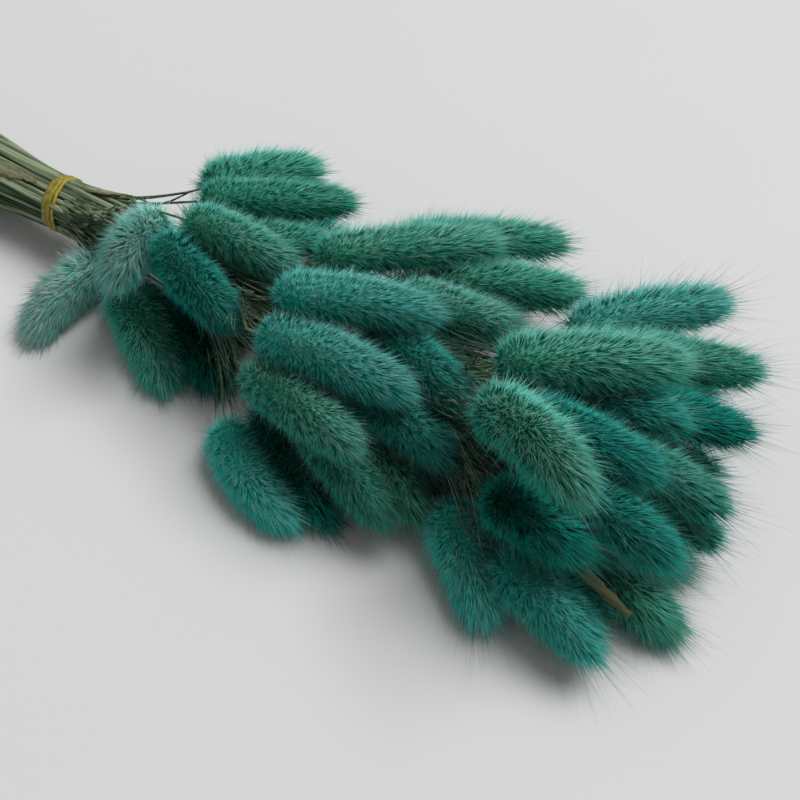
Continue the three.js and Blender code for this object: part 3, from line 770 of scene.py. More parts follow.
@dataclass
class Bunch:
    """Where the heads and the stems of the bunch lie, worked out as in the solids."""

    sight: Colour = (0.34, -0.51, 0.79)
    slide_across: float = 0.3
    settle_rounds: int = 300
    give: float = 0.3
    longest_slide: float = 1.2
    out_of_touch: float = 110.0
    bottom_layer: float = 18.0
    sinking: float = 0.12
    trunk_core: tuple[Row, ...] = ((6, 5.3), (40, 6), (60, 5.2), (150, 5.2))
    bend_pull: float = 0.42
    bend_rounds: int = 60
    bend_room: float = 16.0
    stiffness: float = 0.25
    balls: int = 9

    def __post_init__(self) -> None:
        """Works out the whole layout."""
        self.way_of_sight = unit(np.array(self.sight))
        self.heads = [
            Head(t, i + 1, np.array(row[:3], float), *row[3:])
            for t, rows in enumerate(TIERS.values())
            for i, row in enumerate(rows)
        ]
        places = np.linspace(0, 1, self.balls)
        self.radii = np.array([head.girth / 2 * SOLID_PROFILE.at(places) for head in self.heads])
        self._settle()
        self._assign_places()
        for head in self.heads:
            head.line = self._stem_line(head)
            self._bend_clear(head)

    def _balls(self) -> Points:
        """Middles of the balls that fill each head, as heads by balls by three."""
        return np.array([head.middle_line(self.balls) for head in self.heads])

    def _lower(self, head: Head, depth: float) -> None:
        """Lowers a head along the line of sight."""
        head.base = head.base - self.way_of_sight * depth / self.way_of_sight[2]

    def _settle(self) -> None:
        """Slides the heads until they are only pressed lightly against each other."""
        xs = np.arange(self.trunk_core[0][0], self.trunk_core[-1][0] + 1e-9, STEP)
        trunk = np.array([trunk_point(x) for x in xs])
        trunk_radii = np.array([along_x(self.trunk_core, x, 1) for x in xs])
        first, second = np.triu_indices(len(self.heads), 1)
        reach = HEAD_PRESS * (self.radii[first][:, :, None] + self.radii[second][:, None, :])
        pick = np.arange(len(first))
        for _ in range(self.settle_rounds):
            balls = self._balls()
            bases = np.array([head.base for head in self.heads])
            moves = np.zeros((len(self.heads), 3))
            apart = balls[first][:, :, None] - balls[second][:, None]
            depth = (reach - np.linalg.norm(apart, axis=-1)).reshape(len(first), -1)
            worst = depth.argmax(1)
            deep = depth[pick, worst]
            near = np.linalg.norm(bases[first] - bases[second], axis=1) <= self.out_of_touch
            live = (deep > 0) & near
            push = unit(apart.reshape(len(first), -1, 3)[pick, worst]) * deep[:, None] * self.give
            np.add.at(moves, first[live], push[live])
            np.add.at(moves, second[live], -push[live])
            off = balls[:, :, None] - trunk[None, None]
            sunk = HEAD_PRESS * self.radii[:, :, None] + trunk_radii - np.linalg.norm(off, axis=-1)
            moves += (unit(off) * np.maximum(sunk, 0)[..., None]).sum((1, 2)) * self.give
            for head, move, radii in zip(self.heads, moves, self.radii):
                self._slide(head, move, radii)

    def _slide(self, head: Head, move: Points, radii: Points) -> None:
        """Slides one head, mostly along the line of sight, and keeps it on the surface.

        Args:
            head: the head.
            move: where the others push it.
            radii: the radii of its balls.
        """
        sight = self.way_of_sight
        along = move @ sight
        move = (move - along * sight) * self.slide_across + along * sight
        move *= min(1.0, self.longest_slide / max(np.linalg.norm(move), 1e-12))
        head.base = head.base + move
        if head.placed_z < self.bottom_layer:
            self._lower(head, self.sinking)
        low = (head.middle_line(self.balls)[:, 2] - radii).min()
        if low < -PRESSED:
            self._lower(head, PRESSED + low)

    def _assign_places(self) -> None:
        """Gives each stem its place in the bundle, on the side where its head is."""
        turn = 2 * math.pi
        golden = math.pi * (3 - math.sqrt(5))
        count = len(self.heads)
        places = [(math.sqrt((k + 0.5) / count), (k * golden) % turn) for k in range(count)]

        def side(head: Head) -> float:
            """The angle at which a head lies about the bundle."""
            away = head.base - trunk_point(head.base[0])
            return (math.atan2(away[2], away[1]) + turn) % turn

        first = 0
        for tier in (2, 1, 0):
            owners = sorted((head for head in self.heads if head.tier == tier), key=side)
            free = sorted(places[first : first + len(owners)], key=lambda place: place[1])
            costs = []
            for shift in range(len(owners)):
                turned = free[shift:] + free[:shift]
                gaps = [abs(side(head) - place[1]) for head, place in zip(owners, turned)]
                costs.append(sum(min(gap, turn - gap) ** 2 for gap in gaps))
            shift = int(np.argmin(costs))
            for head, place in zip(owners, free[shift:] + free[:shift]):
                head.share, head.angle = place
            first += len(owners)

    @staticmethod
    def _bundle_point(head: Head, x: float) -> Points:
        """Where a stem runs in the bundle at a place along X."""
        sideways = along_x(SPREAD, x, 1) * head.share * math.cos(head.angle)
        upwards = along_x(SPREAD, x, 2) * head.share * math.sin(head.angle)
        return trunk_point(x) + np.array([0.0, sideways, upwards])

    def _stem_line(self, head: Head) -> Points:
        """The line of a stem from its cut end to its head.

        Args:
            head: the stem's head.

        Returns:
            An array of points.
        """
        cut = CUT_END_X + CUT_END_RAGGED * (2 * next(seeded_random(head.seed + 7)) - 1)
        leave = max(TIE_HALF + 3, head.base[0] - BEND_OFF)
        start = self._bundle_point(head, leave)
        end = head.base - head.direction(0) * SEAT_GAP
        pull = np.linalg.norm(end - start) * self.bend_pull
        handles = (start, start + np.array([pull, 0, 0]), end - head.direction(0) * pull, end)

        def bend(count: int) -> Points:
            """Points along the bend."""
            t = np.linspace(0, 1, count + 1)[:, None]
            weights = ((1 - t) ** 3, 3 * t * (1 - t) ** 2, 3 * t * t * (1 - t), t**3)
            return sum(weight * handle for weight, handle in zip(weights, handles))

        length = run_of(bend(200))[-1]
        straight = [self._bundle_point(head, x) for x in np.arange(cut, leave - STEP / 2, STEP)]
        return np.vstack([straight, bend(max(4, math.ceil(length / STEP)))])

    def _bend_clear(self, head: Head) -> None:
        """Bends a stem clear of the heads that it passes, and of the surface."""
        others = [i for i, other in enumerate(self.heads) if other is not head]
        centres = self._balls()[others].reshape(-1, 3)
        radii = self.radii[others].ravel() * HEAD_PRESS
        line = head.line
        low, high = line.min(0) - self.bend_room, line.max(0) + self.bend_room
        near = ((centres > low) & (centres < high)).all(1)
        centres, radii = centres[near], radii[near]
        for _ in range(self.bend_rounds):
            for i in range(1, len(line) - 1):
                if line[i, 0] < TIE_HALF:
                    continue
                if i + 2 < len(line):
                    line[i] += ((line[i - 1] + line[i + 1]) / 2 - line[i]) * self.stiffness
                radius = head.stem_radius(line[i, 0]) + SEAT_GAP
                reach = radii + radius
                close = ((line[i] - centres) ** 2).sum(1) < (reach + 2.0) ** 2
                for k in np.nonzero(close)[0]:
                    away = line[i] - centres[k]
                    gap = math.sqrt(away @ away)
                    if gap < reach[k]:
                        line[i] += away / gap * (reach[k] - gap)
                line[i, 2] = max(line[i, 2], radius)

    def reach(self, x: float, outward: Points, width: float) -> float:
        """How far the stems under a strip reach out from the middle of the bundle.

        Args:
            x: the place along X.
            outward: the way from the middle of the bundle to the strip.
            width: the strip's width.

        Returns:
            The distance.
        """
        across = np.array([0.0, -outward[2], outward[1]])
        middle = trunk_point(x)
        best = 0.0
        for head in self.heads:
            after = np.nonzero(head.line[:, 0] >= x)[0]
            if len(after) == 0 or after[0] < 1:
                continue
            start, end = head.line[after[0] - 1], head.line[after[0]]
            offset = start + (end - start) * (x - start[0]) / (end[0] - start[0]) - middle
            radius = head.stem_radius(x)
            if abs(offset @ across) <= width / 2 + radius:
                best = max(best, float(offset @ outward) + radius)
        return best


# Meshes


def place_of_layout() -> Points:
    """The shift from the layout to the frame, read off the band, whose middle is the middle of the tie."""
    low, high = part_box("rubber_band")
    return np.array((low + high) / 2) - trunk_point(0.0) * MM


SHIFT = place_of_layout()


def to_frame(points: Points) -> Points:
    """Layout points, in millimetres, as metres in the frame."""
    return np.asarray(points) * MM + SHIFT


def link_object(name: str, data: bpy.types.ID) -> bpy.types.Object:
    """Puts a new object, at the origin, into the scene."""
    made = bpy.data.objects.new(name, data)
    bpy.context.scene.collection.objects.link(made)
    return made


def new_object(name: str, points: Points, faces: Faces, smooth: bool = True) -> bpy.types.Object:
    """Makes a mesh object at the origin.

    Args:
        name: the object's name.
        points: its vertices, in metres in the frame.
        faces: its faces, facing outwards.
        smooth: whether it is shaded smooth.

    Returns:
        The object.
    """
    mesh = bpy.data.meshes.new(name)
    mesh.from_pydata([tuple(p) for p in points], [], faces)
    mesh.polygons.foreach_set("use_smooth", [smooth] * len(mesh.polygons))
    mesh.update()
    return link_object(name, mesh)


def add_numbers(piece: bpy.types.Object, name: str, values: Points) -> None:
    """Stores one number, or one vector, for each vertex."""
    kind, key = ("FLOAT_VECTOR", "vector") if values.ndim == 2 else ("FLOAT", "value")
    stored = piece.data.attributes.new(name, kind, "POINT")
    stored.data.foreach_set(key, values.astype(np.float32).ravel())


def ring_faces(rings: int, sides: int) -> Faces:
    """Faces of a skin through rings of points, facing out of it, with two poles after the rings' points.

    Args:
        rings: how many rings there are.
        sides: how many points each ring has.

    Returns:
        The faces.
    """
    faces: Faces = []
    for i in range(rings - 1):
        for j in range(sides):
            a, b = i * sides + j, i * sides + (j + 1) % sides
            faces.append((a, b, b + sides, a + sides))
    first, last, top = rings * sides, rings * sides + 1, (rings - 1) * sides
    faces += [(first, (j + 1) % sides, j) for j in range(sides)]
    faces += [(last, top + j, top + (j + 1) % sides) for j in range(sides)]
    return faces


def finish(piece: bpy.types.Object, node: str) -> bpy.types.Object:
    """Lets a piece ride on the bunch and stand for its node.

    Args:
        piece: the finished piece.
        node: the node that it replaces.

    Returns:
        The piece.
    """
    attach(piece, BODY)
    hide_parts(node)
    return piece


class GeometryTree(Graph):
    """A Geometry Nodes tree with named inputs, and the way to run it on a piece."""

    def __init__(self, name: str) -> None:
        """Starts an empty tree of a name."""
        super().__init__(bpy.data.node_groups.new(name, "GeometryNodeTree"))
        for way in ("OUTPUT", "INPUT"):
            self.tree.interface.new_socket("Geometry", in_out=way, socket_type="NodeSocketGeometry")
        self.given = self.tree.nodes.new("NodeGroupInput")

    def input(self, name: str, kind: str = "Float") -> Link:
        """Adds a named input, of kind Float, Int or Material."""
        self.tree.interface.new_socket(name, in_out="INPUT", socket_type=f"NodeSocket{kind}")
        return Link(self, self.given.outputs[name])

    def stored(self, name: str, kind: str = "FLOAT") -> Link:
        """A named attribute of the geometry."""
        return self.out("GeometryNodeInputNamedAttribute", {"Name": name}, data_type=kind)

    def store(
        self, geometry: Link, name: str, value: Any, kind: str = "FLOAT", domain: str = "POINT"
    ) -> Link:
        """Stores a named attribute.

        Args:
            geometry: what it is stored on.
            name: its name.
            value: a value or a link.
            kind: its data type.
            domain: its domain.

        Returns:
            The geometry with it.
        """
        inputs = {"Geometry": geometry, "Name": name, "Value": value}
        return self.out("GeometryNodeStoreNamedAttribute", inputs, data_type=kind, domain=domain)

    def draw(self, seed: Any, low: Any = 0.0, high: Any = 1.0, kind: str = "FLOAT") -> Link:
        """Draws a random value for each element.

        Args:
            seed: the draw's seed.
            low: the lowest value.
            high: the highest value.
            kind: FLOAT or FLOAT_VECTOR.

        Returns:
            The value.
        """
        first, output = (0, 0) if kind == "FLOAT_VECTOR" else (2, 1)
        inputs = {first: low, first + 1: high, "Seed": seed}
        return self.out("FunctionNodeRandomValue", inputs, output, data_type=kind)

    def moved(self, geometry: Link, **where: Link) -> Link:
        """Geometry moved by an Offset or to a Position."""
        return self.out("GeometryNodeSetPosition", {"Geometry": geometry, **where})

    def real(self, geometry: Link) -> Link:
        """Geometry with its instances made real."""
        return self.out("GeometryNodeRealizeInstances", {"Geometry": geometry})

    def painted(self, geometry: Link, material: Link, **where: Link) -> Link:
        """Geometry with a material, on all of it or on a Selection."""
        inputs = {"Geometry": geometry, "Material": material, **where}
        return self.out("GeometryNodeSetMaterial", inputs)

    def end(self, geometry: Link) -> None:
        """Links the tree's result."""
        self.node("NodeGroupOutput", {"Geometry": geometry})

    def run(self, source: bpy.types.Object, name: str, values: dict[str, Any]) -> bpy.types.Object:
        """Runs the tree on a piece and keeps the result as a plain mesh.

        Args:
            source: the object that the tree starts from. It is removed afterwards.
            name: the new piece's name.
            values: the inputs by name.

        Returns:
            The new piece.
        """
        modifier = source.modifiers.new(self.tree.name, "NODES")
        modifier.node_group = self.tree
        for item in self.tree.interface.items_tree:
            if item.in_out == "INPUT" and item.name in values:
                modifier[item.identifier] = values[item.name]
        seen = source.evaluated_get(bpy.context.evaluated_depsgraph_get())
        mesh = bpy.data.meshes.new_from_object(seen)
        source.modifiers.remove(modifier)
        bpy.data.objects.remove(source)
        mesh.name = name
        return link_object(name, mesh)


# The soft heads


@dataclass(frozen=True)
class Hair:
    """One kind of hair on a head. Its width and its bend are shares of its length.

    Attributes:
        width: its thickness at the root.
        shortest: its usual least length, as a share of the head's pile.
        longest: its usual greatest length.
        rare: how much longer than that the rare long ones are.
        lean: how far it leans towards the head's tip, at the base and at the tip.
        lock: how strongly neighbours draw together.
        ruffle: how far it leans with its neighbours in other ways.
        stray: how far it leans by itself.
        bend: how far its tip bends over.
        first_cell: its first cell on the map.
        seed: what tells its draws from the other kind's.
    """

    width: float
    shortest: float
    longest: float
    rare: float
    lean: Span
    lock: float
    ruffle: float
    stray: float
    bend: float
    first_cell: int
    seed: int


FUR = Hair(
    width=0.024, shortest=0.80, longest=1.13, rare=2.2, lean=(0.3, 1.7), lock=0.5, ruffle=0.9,
    stray=0.25, bend=0.14, first_cell=0, seed=1,
)
AWNS = Hair(
    width=0.009, shortest=1.1, longest=2.2, rare=0.6, lean=(0.5, 2.0), lock=0.0, ruffle=0.9,
    stray=0.6, bend=0.3, first_cell=5000, seed=2,
)


class Planting(GeometryTree):
    """The tree that plants a core full of fur and awns.

    The core carries four numbers and a vector at each of its points: along, its place from base to tip;
    pile, how long the fur is; cover, how dense it is; rise, how far it faces up; and sweep, the way to
    the head's tip.
    """

    RUFFLES_PER_METRE: ClassVar[float] = 320.0
    LOCKS_PER_METRE: ClassVar[float] = 430.0
    PARTINGS_PER_METRE: ClassVar[float] = 120.0
    PARTING_CONTRAST: ClassVar[float] = 7.0
    USUAL_LOCK: ClassVar[float] = 0.7
    LEAST_LOCK: ClassVar[float] = 0.12
    RARITY: ClassVar[float] = 8.0
    SOFT_PRESS: ClassVar[float] = 0.8 * MM
    CELLS: ClassVar[int] = 75
    HAIR_ROOM: ClassVar[float] = 0.92
    CELL_TURN: ClassVar[Span] = (0.94, 0.34)
    CELL_FOOT: ClassVar[Span] = (0.5, 0.1)
    CELL_FILL: ClassVar[tuple[float, float, float]] = (0.42, 0.8, 0.06)
    DRAWS: ClassVar[dict[str, float]] = {"stray": 30.0, "length": 40.0, "tone": 50.0}

    def __init__(self) -> None:
        """Builds the tree."""
        super().__init__("plant_head")
        self.core = Link(self, self.given.outputs["Geometry"])
        self.seed = self.input("Seed", "Int")
        self.tousle = self.input("Tousle")
        self.sweep = self.input("Sweep")
        fur = self._plant(FUR, self.input("Fur density"), 1.0)
        awns = self._plant(AWNS, self.input("Awn density"), self.input("Awn length"))
        joined = self.node("GeometryNodeJoinGeometry")
        for geometry in (self.core, fur, awns):
            self.feed(joined.inputs[0], geometry)
        pressed = self._above_surface(self.real(Link(self, joined.outputs[0])))
        smooth = self.real(self.out("GeometryNodeSetShadeSmooth", {"Geometry": pressed}))
        dressed = self.painted(smooth, self.input("Fur finish", "Material"))
        is_awn = self.stored("awn", "BOOLEAN")
        self.end(self.painted(dressed, self.input("Awn finish", "Material"), Selection=is_awn))

    def _above_surface(self, geometry: Link) -> Link:
        """Presses what reaches below the surface flat against it, without folding it over.

        Args:
            geometry: the core and its hairs.

        Returns:
            The pressed geometry.
        """
        x, y, height = self.split(self.out("GeometryNodeInputPosition"))
        near = self.maths("MINIMUM", height / self.SOFT_PRESS, 1.0)
        eased = self.maths("EXPONENT", near - 1.0) * self.SOFT_PRESS
        return self.moved(geometry, Position=self.combine(x, y, self.maths("MAXIMUM", height, eased)))

    def _plant(self, hair: Hair, density: Link, reach: Link | float) -> Link:
        """Plants one kind of hair all over the core.

        Args:
            hair: the kind of hair.
            density: hairs in a square metre.
            reach: how long they are, 1 as the kind has it.

        Returns:
            The hairs.
        """
        seed = self.seed + float(hair.seed)
        spots = self.node(
            "GeometryNodeDistributePointsOnFaces",
            {"Mesh": self.core, "Density": density * self.stored("cover"), "Seed": seed},
        )
        way = self._way(hair, Link(self, spots.outputs["Normal"]), seed)
        axes = {"Primary Axis": way, "Secondary Axis": self.stored("sweep", "FLOAT_VECTOR")}
        turned = self.out("FunctionNodeAxesToRotation", axes, primary_axis="Z", secondary_axis="X")
        pile = self.stored("pile")
        drawn = self.draw(seed + self.DRAWS["length"])
        drawn = hair.shortest + (hair.longest - hair.shortest) * (drawn + hair.rare * drawn**self.RARITY)
        points = self.store(Link(self, spots.outputs["Points"]), "tone", self.draw(seed + self.DRAWS["tone"]))
        cell = self.out("GeometryNodeInputIndex") + float(hair.first_cell)
        placed = self.out(
            "GeometryNodeInstanceOnPoints",
            {
                "Points": self.store(points, "cell", cell),
                "Instance": self._spike(hair),
                "Rotation": turned,
                "Scale": self.combine(pile, pile, pile * (drawn * reach)),
            },
        )
        return self._mapped(self.real(placed))

    def _way(self, hair: Hair, normal: Link, seed: Link) -> Link:
        """Which way a hair points: out, swept to the head's tip, ruffled, and drawn into its lock.

        Args:
            hair: the kind of hair.
            normal: the way out of the core.
            seed: the seed of this kind of hair.

        Returns:
            The way.
        """
        where = self.out("GeometryNodeInputPosition")
        along = self.stored("along")
        lean = hair.lean[0] + (hair.lean[1] - hair.lean[0]) * along * along
        swept = self.vector("SCALE", self.stored("sweep", "FLOAT_VECTOR"), lean * self.sweep)
        ruffle = self.out(
            "ShaderNodeTexNoise", {"Vector": where, "Scale": self.RUFFLES_PER_METRE, "Detail": 1.0}, "Color"
        )
        ruffle = self.vector("SCALE", self.vector("SUBTRACT", ruffle, even(0.5)), hair.ruffle)
        stray = self.draw(seed + self.DRAWS["stray"], even(-hair.stray), even(hair.stray), "FLOAT_VECTOR")
        untidy = self.vector("SCALE", self.vector("ADD", ruffle, stray), self.tousle)
        parting = self.out("ShaderNodeTexNoise", {"Vector": where, "Scale": self.PARTINGS_PER_METRE})
        drawing = (parting - 0.5) * self.PARTING_CONTRAST + self.USUAL_LOCK
        drawing = self.maths("MAXIMUM", drawing, self.LEAST_LOCK)
        middle = self.out(
            "ShaderNodeTexVoronoi", {"Vector": where, "Scale": self.LOCKS_PER_METRE}, "Position"
        )
        pull = self.vector("SUBTRACT", middle, where)
        locked = self.vector("SCALE", pull, hair.lock * self.tousle * drawing / self.stored("pile"))
        way = self.vector("ADD", normal, swept)
        return self.vector("ADD", self.vector("ADD", way, untidy), locked)

    def _spike(self, hair: Hair) -> Link:
        """Makes one hair of length one: a closed three-sided spike that bends forward.

        Args:
            hair: the kind of hair.

        Returns:
            Its mesh, with its place on a map cell of its own.
        """
        sizes = {"Vertices": 3, "Radius Top": 0.0, "Radius Bottom": hair.width, "Depth": 1.0}
        cone = self.out("GeometryNodeMeshCone", sizes, "Mesh", fill_type="NGON")
        where = self.out("GeometryNodeInputPosition")
        height = self.split(where)[2]
        spike = self.store(cone, "shaft", height)
        spike = self.store(spike, "awn", hair is AWNS, "BOOLEAN")
        cosine, sine = (part / hair.width for part in self.CELL_TURN)
        sideways = self.vector("DOT_PRODUCT", where, (cosine, sine, 0.0))
        forwards = self.vector("DOT_PRODUCT", where, (-sine, cosine, 0.0))
        wide, high, deep = self.CELL_FILL
        across, up = self.CELL_FOOT
        spot = self.combine(across + wide * sideways, up + high * height + deep * forwards)
        spike = self.store(spike, "spot", spot, "FLOAT_VECTOR")
        return self.moved(spike, Offset=self.combine(hair.bend * height * height))

    def _mapped(self, hairs: Link) -> Link:
        """Gives each hair a cell of its own on the map.

        Args:
            hairs: the hairs, made real.

        Returns:
            The hairs with their map.
        """
        cell = self.stored("cell")
        x, y, _ = self.split(self.stored("spot", "FLOAT_VECTOR"))
        row = self.maths("FLOOR", cell / self.CELLS)
        place = self.combine((cell % self.CELLS + x) / self.CELLS, (row + y) / self.CELLS * self.HAIR_ROOM)
        return self.store(hairs, BAKE_MAP, place, "FLOAT2", "CORNER")


@dataclass
class Plumes:
    """The soft heads: a slender core planted full of hairs."""

    bunch: Bunch
    columns: int = 14
    rows: int = 20
    span: Span = (0.06, 0.94)
    core: float = 0.74
    core_shaft: float = 0.45
    fullness: float = 1.14
    base_dome: float = 0.6
    tip_dome: float = 0.7
    tip_rounding: tuple[float, float, float] = (0.8596, 0.14, 0.8)
    shortest_pile: float = 3.2
    hidden_facings: Span = (-0.75, -0.15)
    hidden_cover: float = 0.35
    inner_slack: float = 0.15
    pole_cover: Span = (0.7, 1.0)
    core_strip: Span = (0.01, 0.065)
    fur_count: float = 4640
    awn_count: float = 420
    awn_lengths: tuple[float, float, float] = (0.7, 1.1, 1.35)
    low_head: float = 36.0
    low_awns: Span = (1.25, 1.25)
    high_awns: Span = (0.95, 0.9)

    def __post_init__(self) -> None:
        """Builds the finishes and the planting tree."""
        self.finishes = {dye: dye.value.build() for dye in DyeAndLight}
        self.awn_finish = AwnFinish().build()
        self.planting = Planting()

    def _core(self, head: Head) -> bpy.types.Object:
        """Makes the core of a head, with what its hairs need to know.

        Args:
            head: the head.

        Returns:
            The core.
        """
        coat = head.coat
        share = np.linspace(0, 1, self.rows)
        along = self.span[0] + (self.span[1] - self.span[0]) * share
        whole = head.middle_line(60)
        line = read_off(along, np.linspace(0, 1, len(whole)), whole)
        tangents = np.array([head.direction(u) for u in along])
        side = unit(np.cross(tangents, np.array([0.0, 0.0, 1.0])))
        up = np.cross(side, tangents)
        start, over, depth = self.tip_rounding
        rounding = np.sqrt(1 - depth * np.clip((share - start) / over, 0, 1) ** 2)
        reach = head.girth * coat.girth / 2 * PLUME_PROFILE.at(along)
        radius = reach * self.core * rounding
        turn = 2 * np.pi * np.arange(self.columns) / self.columns
        outward = -np.cos(turn)[None, :, None] * side[:, None] + np.sin(turn)[None, :, None] * up[:, None]
        rings = line[:, None] + outward * radius[:, None, None]
        base = line[0] - tangents[0] * radius[0] * self.base_dome
        tip = line[-1] + tangents[-1] * radius[-1] * self.tip_dome
        points = np.vstack([rings.reshape(-1, 3), base, tip])
        points[:, 2] = np.maximum(points[:, 2], LOWEST_LINE)
        core = new_object(f"{head.name}_core", to_frame(points), ring_faces(self.rows, self.columns))
        along = np.append(np.repeat(along, self.columns), [along[0], along[-1]])
        away = unit(line - np.array([trunk_point(spot[0]) for spot in line]))
        facing = np.minimum(outward[:, :, 2], (outward * away[:, None]).sum(2) + self.inner_slack)
        cover = np.interp(facing, self.hidden_facings, [self.hidden_cover, 1.0])
        numbers = {
            "along": along,
            "sweep": np.vstack([np.repeat(tangents, self.columns, axis=0), tangents[0], tangents[-1]]),
            "pile": self._pile(head, along) * MM,
            "cover": np.append(cover.ravel(), self.pole_cover),
            "shaft": np.full(len(along), self.core_shaft),
            # rise: how far each point faces up; the fur finish uses it to paint the upper side lighter,
            # painted light.
            "rise": np.append(outward[:, :, 2].ravel(), [0.0, 0.0]),
        }
        for name, values in numbers.items():
            add_numbers(core, name, values)
        self._map_core(core, along)
        return core

    def _pile(self, head: Head, along: Points) -> Points:
        """How long the fur is at places along a head, in millimetres."""
        coat = head.coat
        lean = coat.sweep * (FUR.lean[0] + (FUR.lean[1] - FUR.lean[0]) * along**2)
        depth = head.girth * coat.girth / 2 * PLUME_PROFILE.at(along) * (self.fullness - self.core)
        shortest = self.shortest_pile + coat.tip_pile * along**3
        return np.maximum(depth * np.sqrt(1 + lean**2), shortest) * coat.length

    def _map_core(self, core: bpy.types.Object, along: Points) -> None:
        """Lays the core out in the strip of the map that the hairs leave free.

        Args:
            core: the core.
            along: each vertex's place along the head.
        """
        mesh = core.data
        layer = mesh.uv_layers.new(name=BAKE_MAP)
        spots = np.zeros((len(mesh.loops), 2))
        low = self.planting.HAIR_ROOM + self.core_strip[0]
        for face in mesh.polygons:
            vertices = [mesh.loops[k].vertex_index for k in face.loop_indices]
            turns = [v % self.columns if v < self.rows * self.columns else None for v in vertices]
            known = [t for t in turns if t is not None]
            wraps = max(known) - min(known) > 1
            for k, vertex, t in zip(face.loop_indices, vertices, turns):
                t = sum(known) / len(known) if t is None else t + self.columns * (wraps and t == 0)
                spots[k] = (t / self.columns, low + self.core_strip[1] * along[vertex])
        layer.data.foreach_set("uv", spots.ravel())

    def _build_head(self, head: Head) -> bpy.types.Object:
        """Makes one furry head.

        Args:
            head: the head.

        Returns:
            The piece.
        """
        core = self._core(head)
        cover = core.data.attributes["cover"].data
        area = sum(
            face.area * sum(cover[v].value for v in face.vertices) / len(face.vertices)
            for face in core.data.polygons
        )
        coat = head.coat
        awn_length, awn_count = self.low_awns if head.placed_z < self.low_head else self.high_awns
        piece = self.planting.run(
            core,
            head.name.replace("head", "plume"),
            {
                "Seed": head.seed,
                "Tousle": coat.tousle,
                "Sweep": coat.sweep,
                "Fur density": self.fur_count * coat.count / area,
                "Awn density": self.awn_count * awn_count * coat.count / area,
                "Awn length": self.awn_lengths[head.tier] * awn_length / coat.length,
                "Fur finish": self.finishes[head.dye],
                "Awn finish": self.awn_finish,
            },
        )
        for name in ("spot", "cell", "sweep", "pile", "along", "cover"):
            if name in piece.data.attributes:
                piece.data.attributes.remove(piece.data.attributes[name])
        return finish(piece, head.name)

    def build(self) -> list[bpy.types.Object]:
        """Makes every head."""
        return [self._build_head(head) for head in self.bunch.heads]


# The stems


class Tubes(GeometryTree):
    """The tree that turns lines into closed round tubes, all as one object."""

    def __init__(self) -> None:
        """Builds the tree."""
        super().__init__("tubes_along_lines")
        sides = self.input("Sides", "Int")
        tone = self.draw(self.input("Seed", "Int"))
        lines = self.store(Link(self, self.given.outputs["Geometry"]), "tone", tone, domain="CURVE")
        profile = self.out("GeometryNodeCurvePrimitiveCircle", {"Resolution": sides, "Radius": 1.0})
        radius = self.stored("radius")
        inputs = {"Curve": lines, "Profile Curve": profile, "Scale": radius, "Fill Caps": True}
        tubes = self.out("GeometryNodeCurveToMesh", inputs)
        smooth = self.real(self.out("GeometryNodeSetShadeSmooth", {"Geometry": tubes}))
        self.end(self.painted(smooth, self.input("Finish", "Material")))

    def build(
        self, name: str, lines: list[tuple[Points, Points]], sides: int, material: bpy.types.Material
    ) -> bpy.types.Object:
        """Makes the tubes of a stem-like piece.

        Args:
            name: the object's name.
            lines: the middle line of each tube, in the layout, and its radii in millimetres.
            sides: how many sides a tube has.
            material: its material.

        Returns:
            The finished piece.
        """
        curve = bpy.data.curves.new(name, "CURVE")
        curve.dimensions = "3D"
        for line, radii in lines:
            spline = curve.splines.new("POLY")
            spline.points.add(len(line) - 1)
            spots = np.column_stack([to_frame(line), np.ones(len(line))])
            spline.points.foreach_set("co", spots.ravel())
            spline.points.foreach_set("radius", np.asarray(radii) * MM)
        values = {"Sides": sides, "Seed": len(lines), "Finish": material}
        return finish(self.run(link_object(name, curve), name, values), "stems")


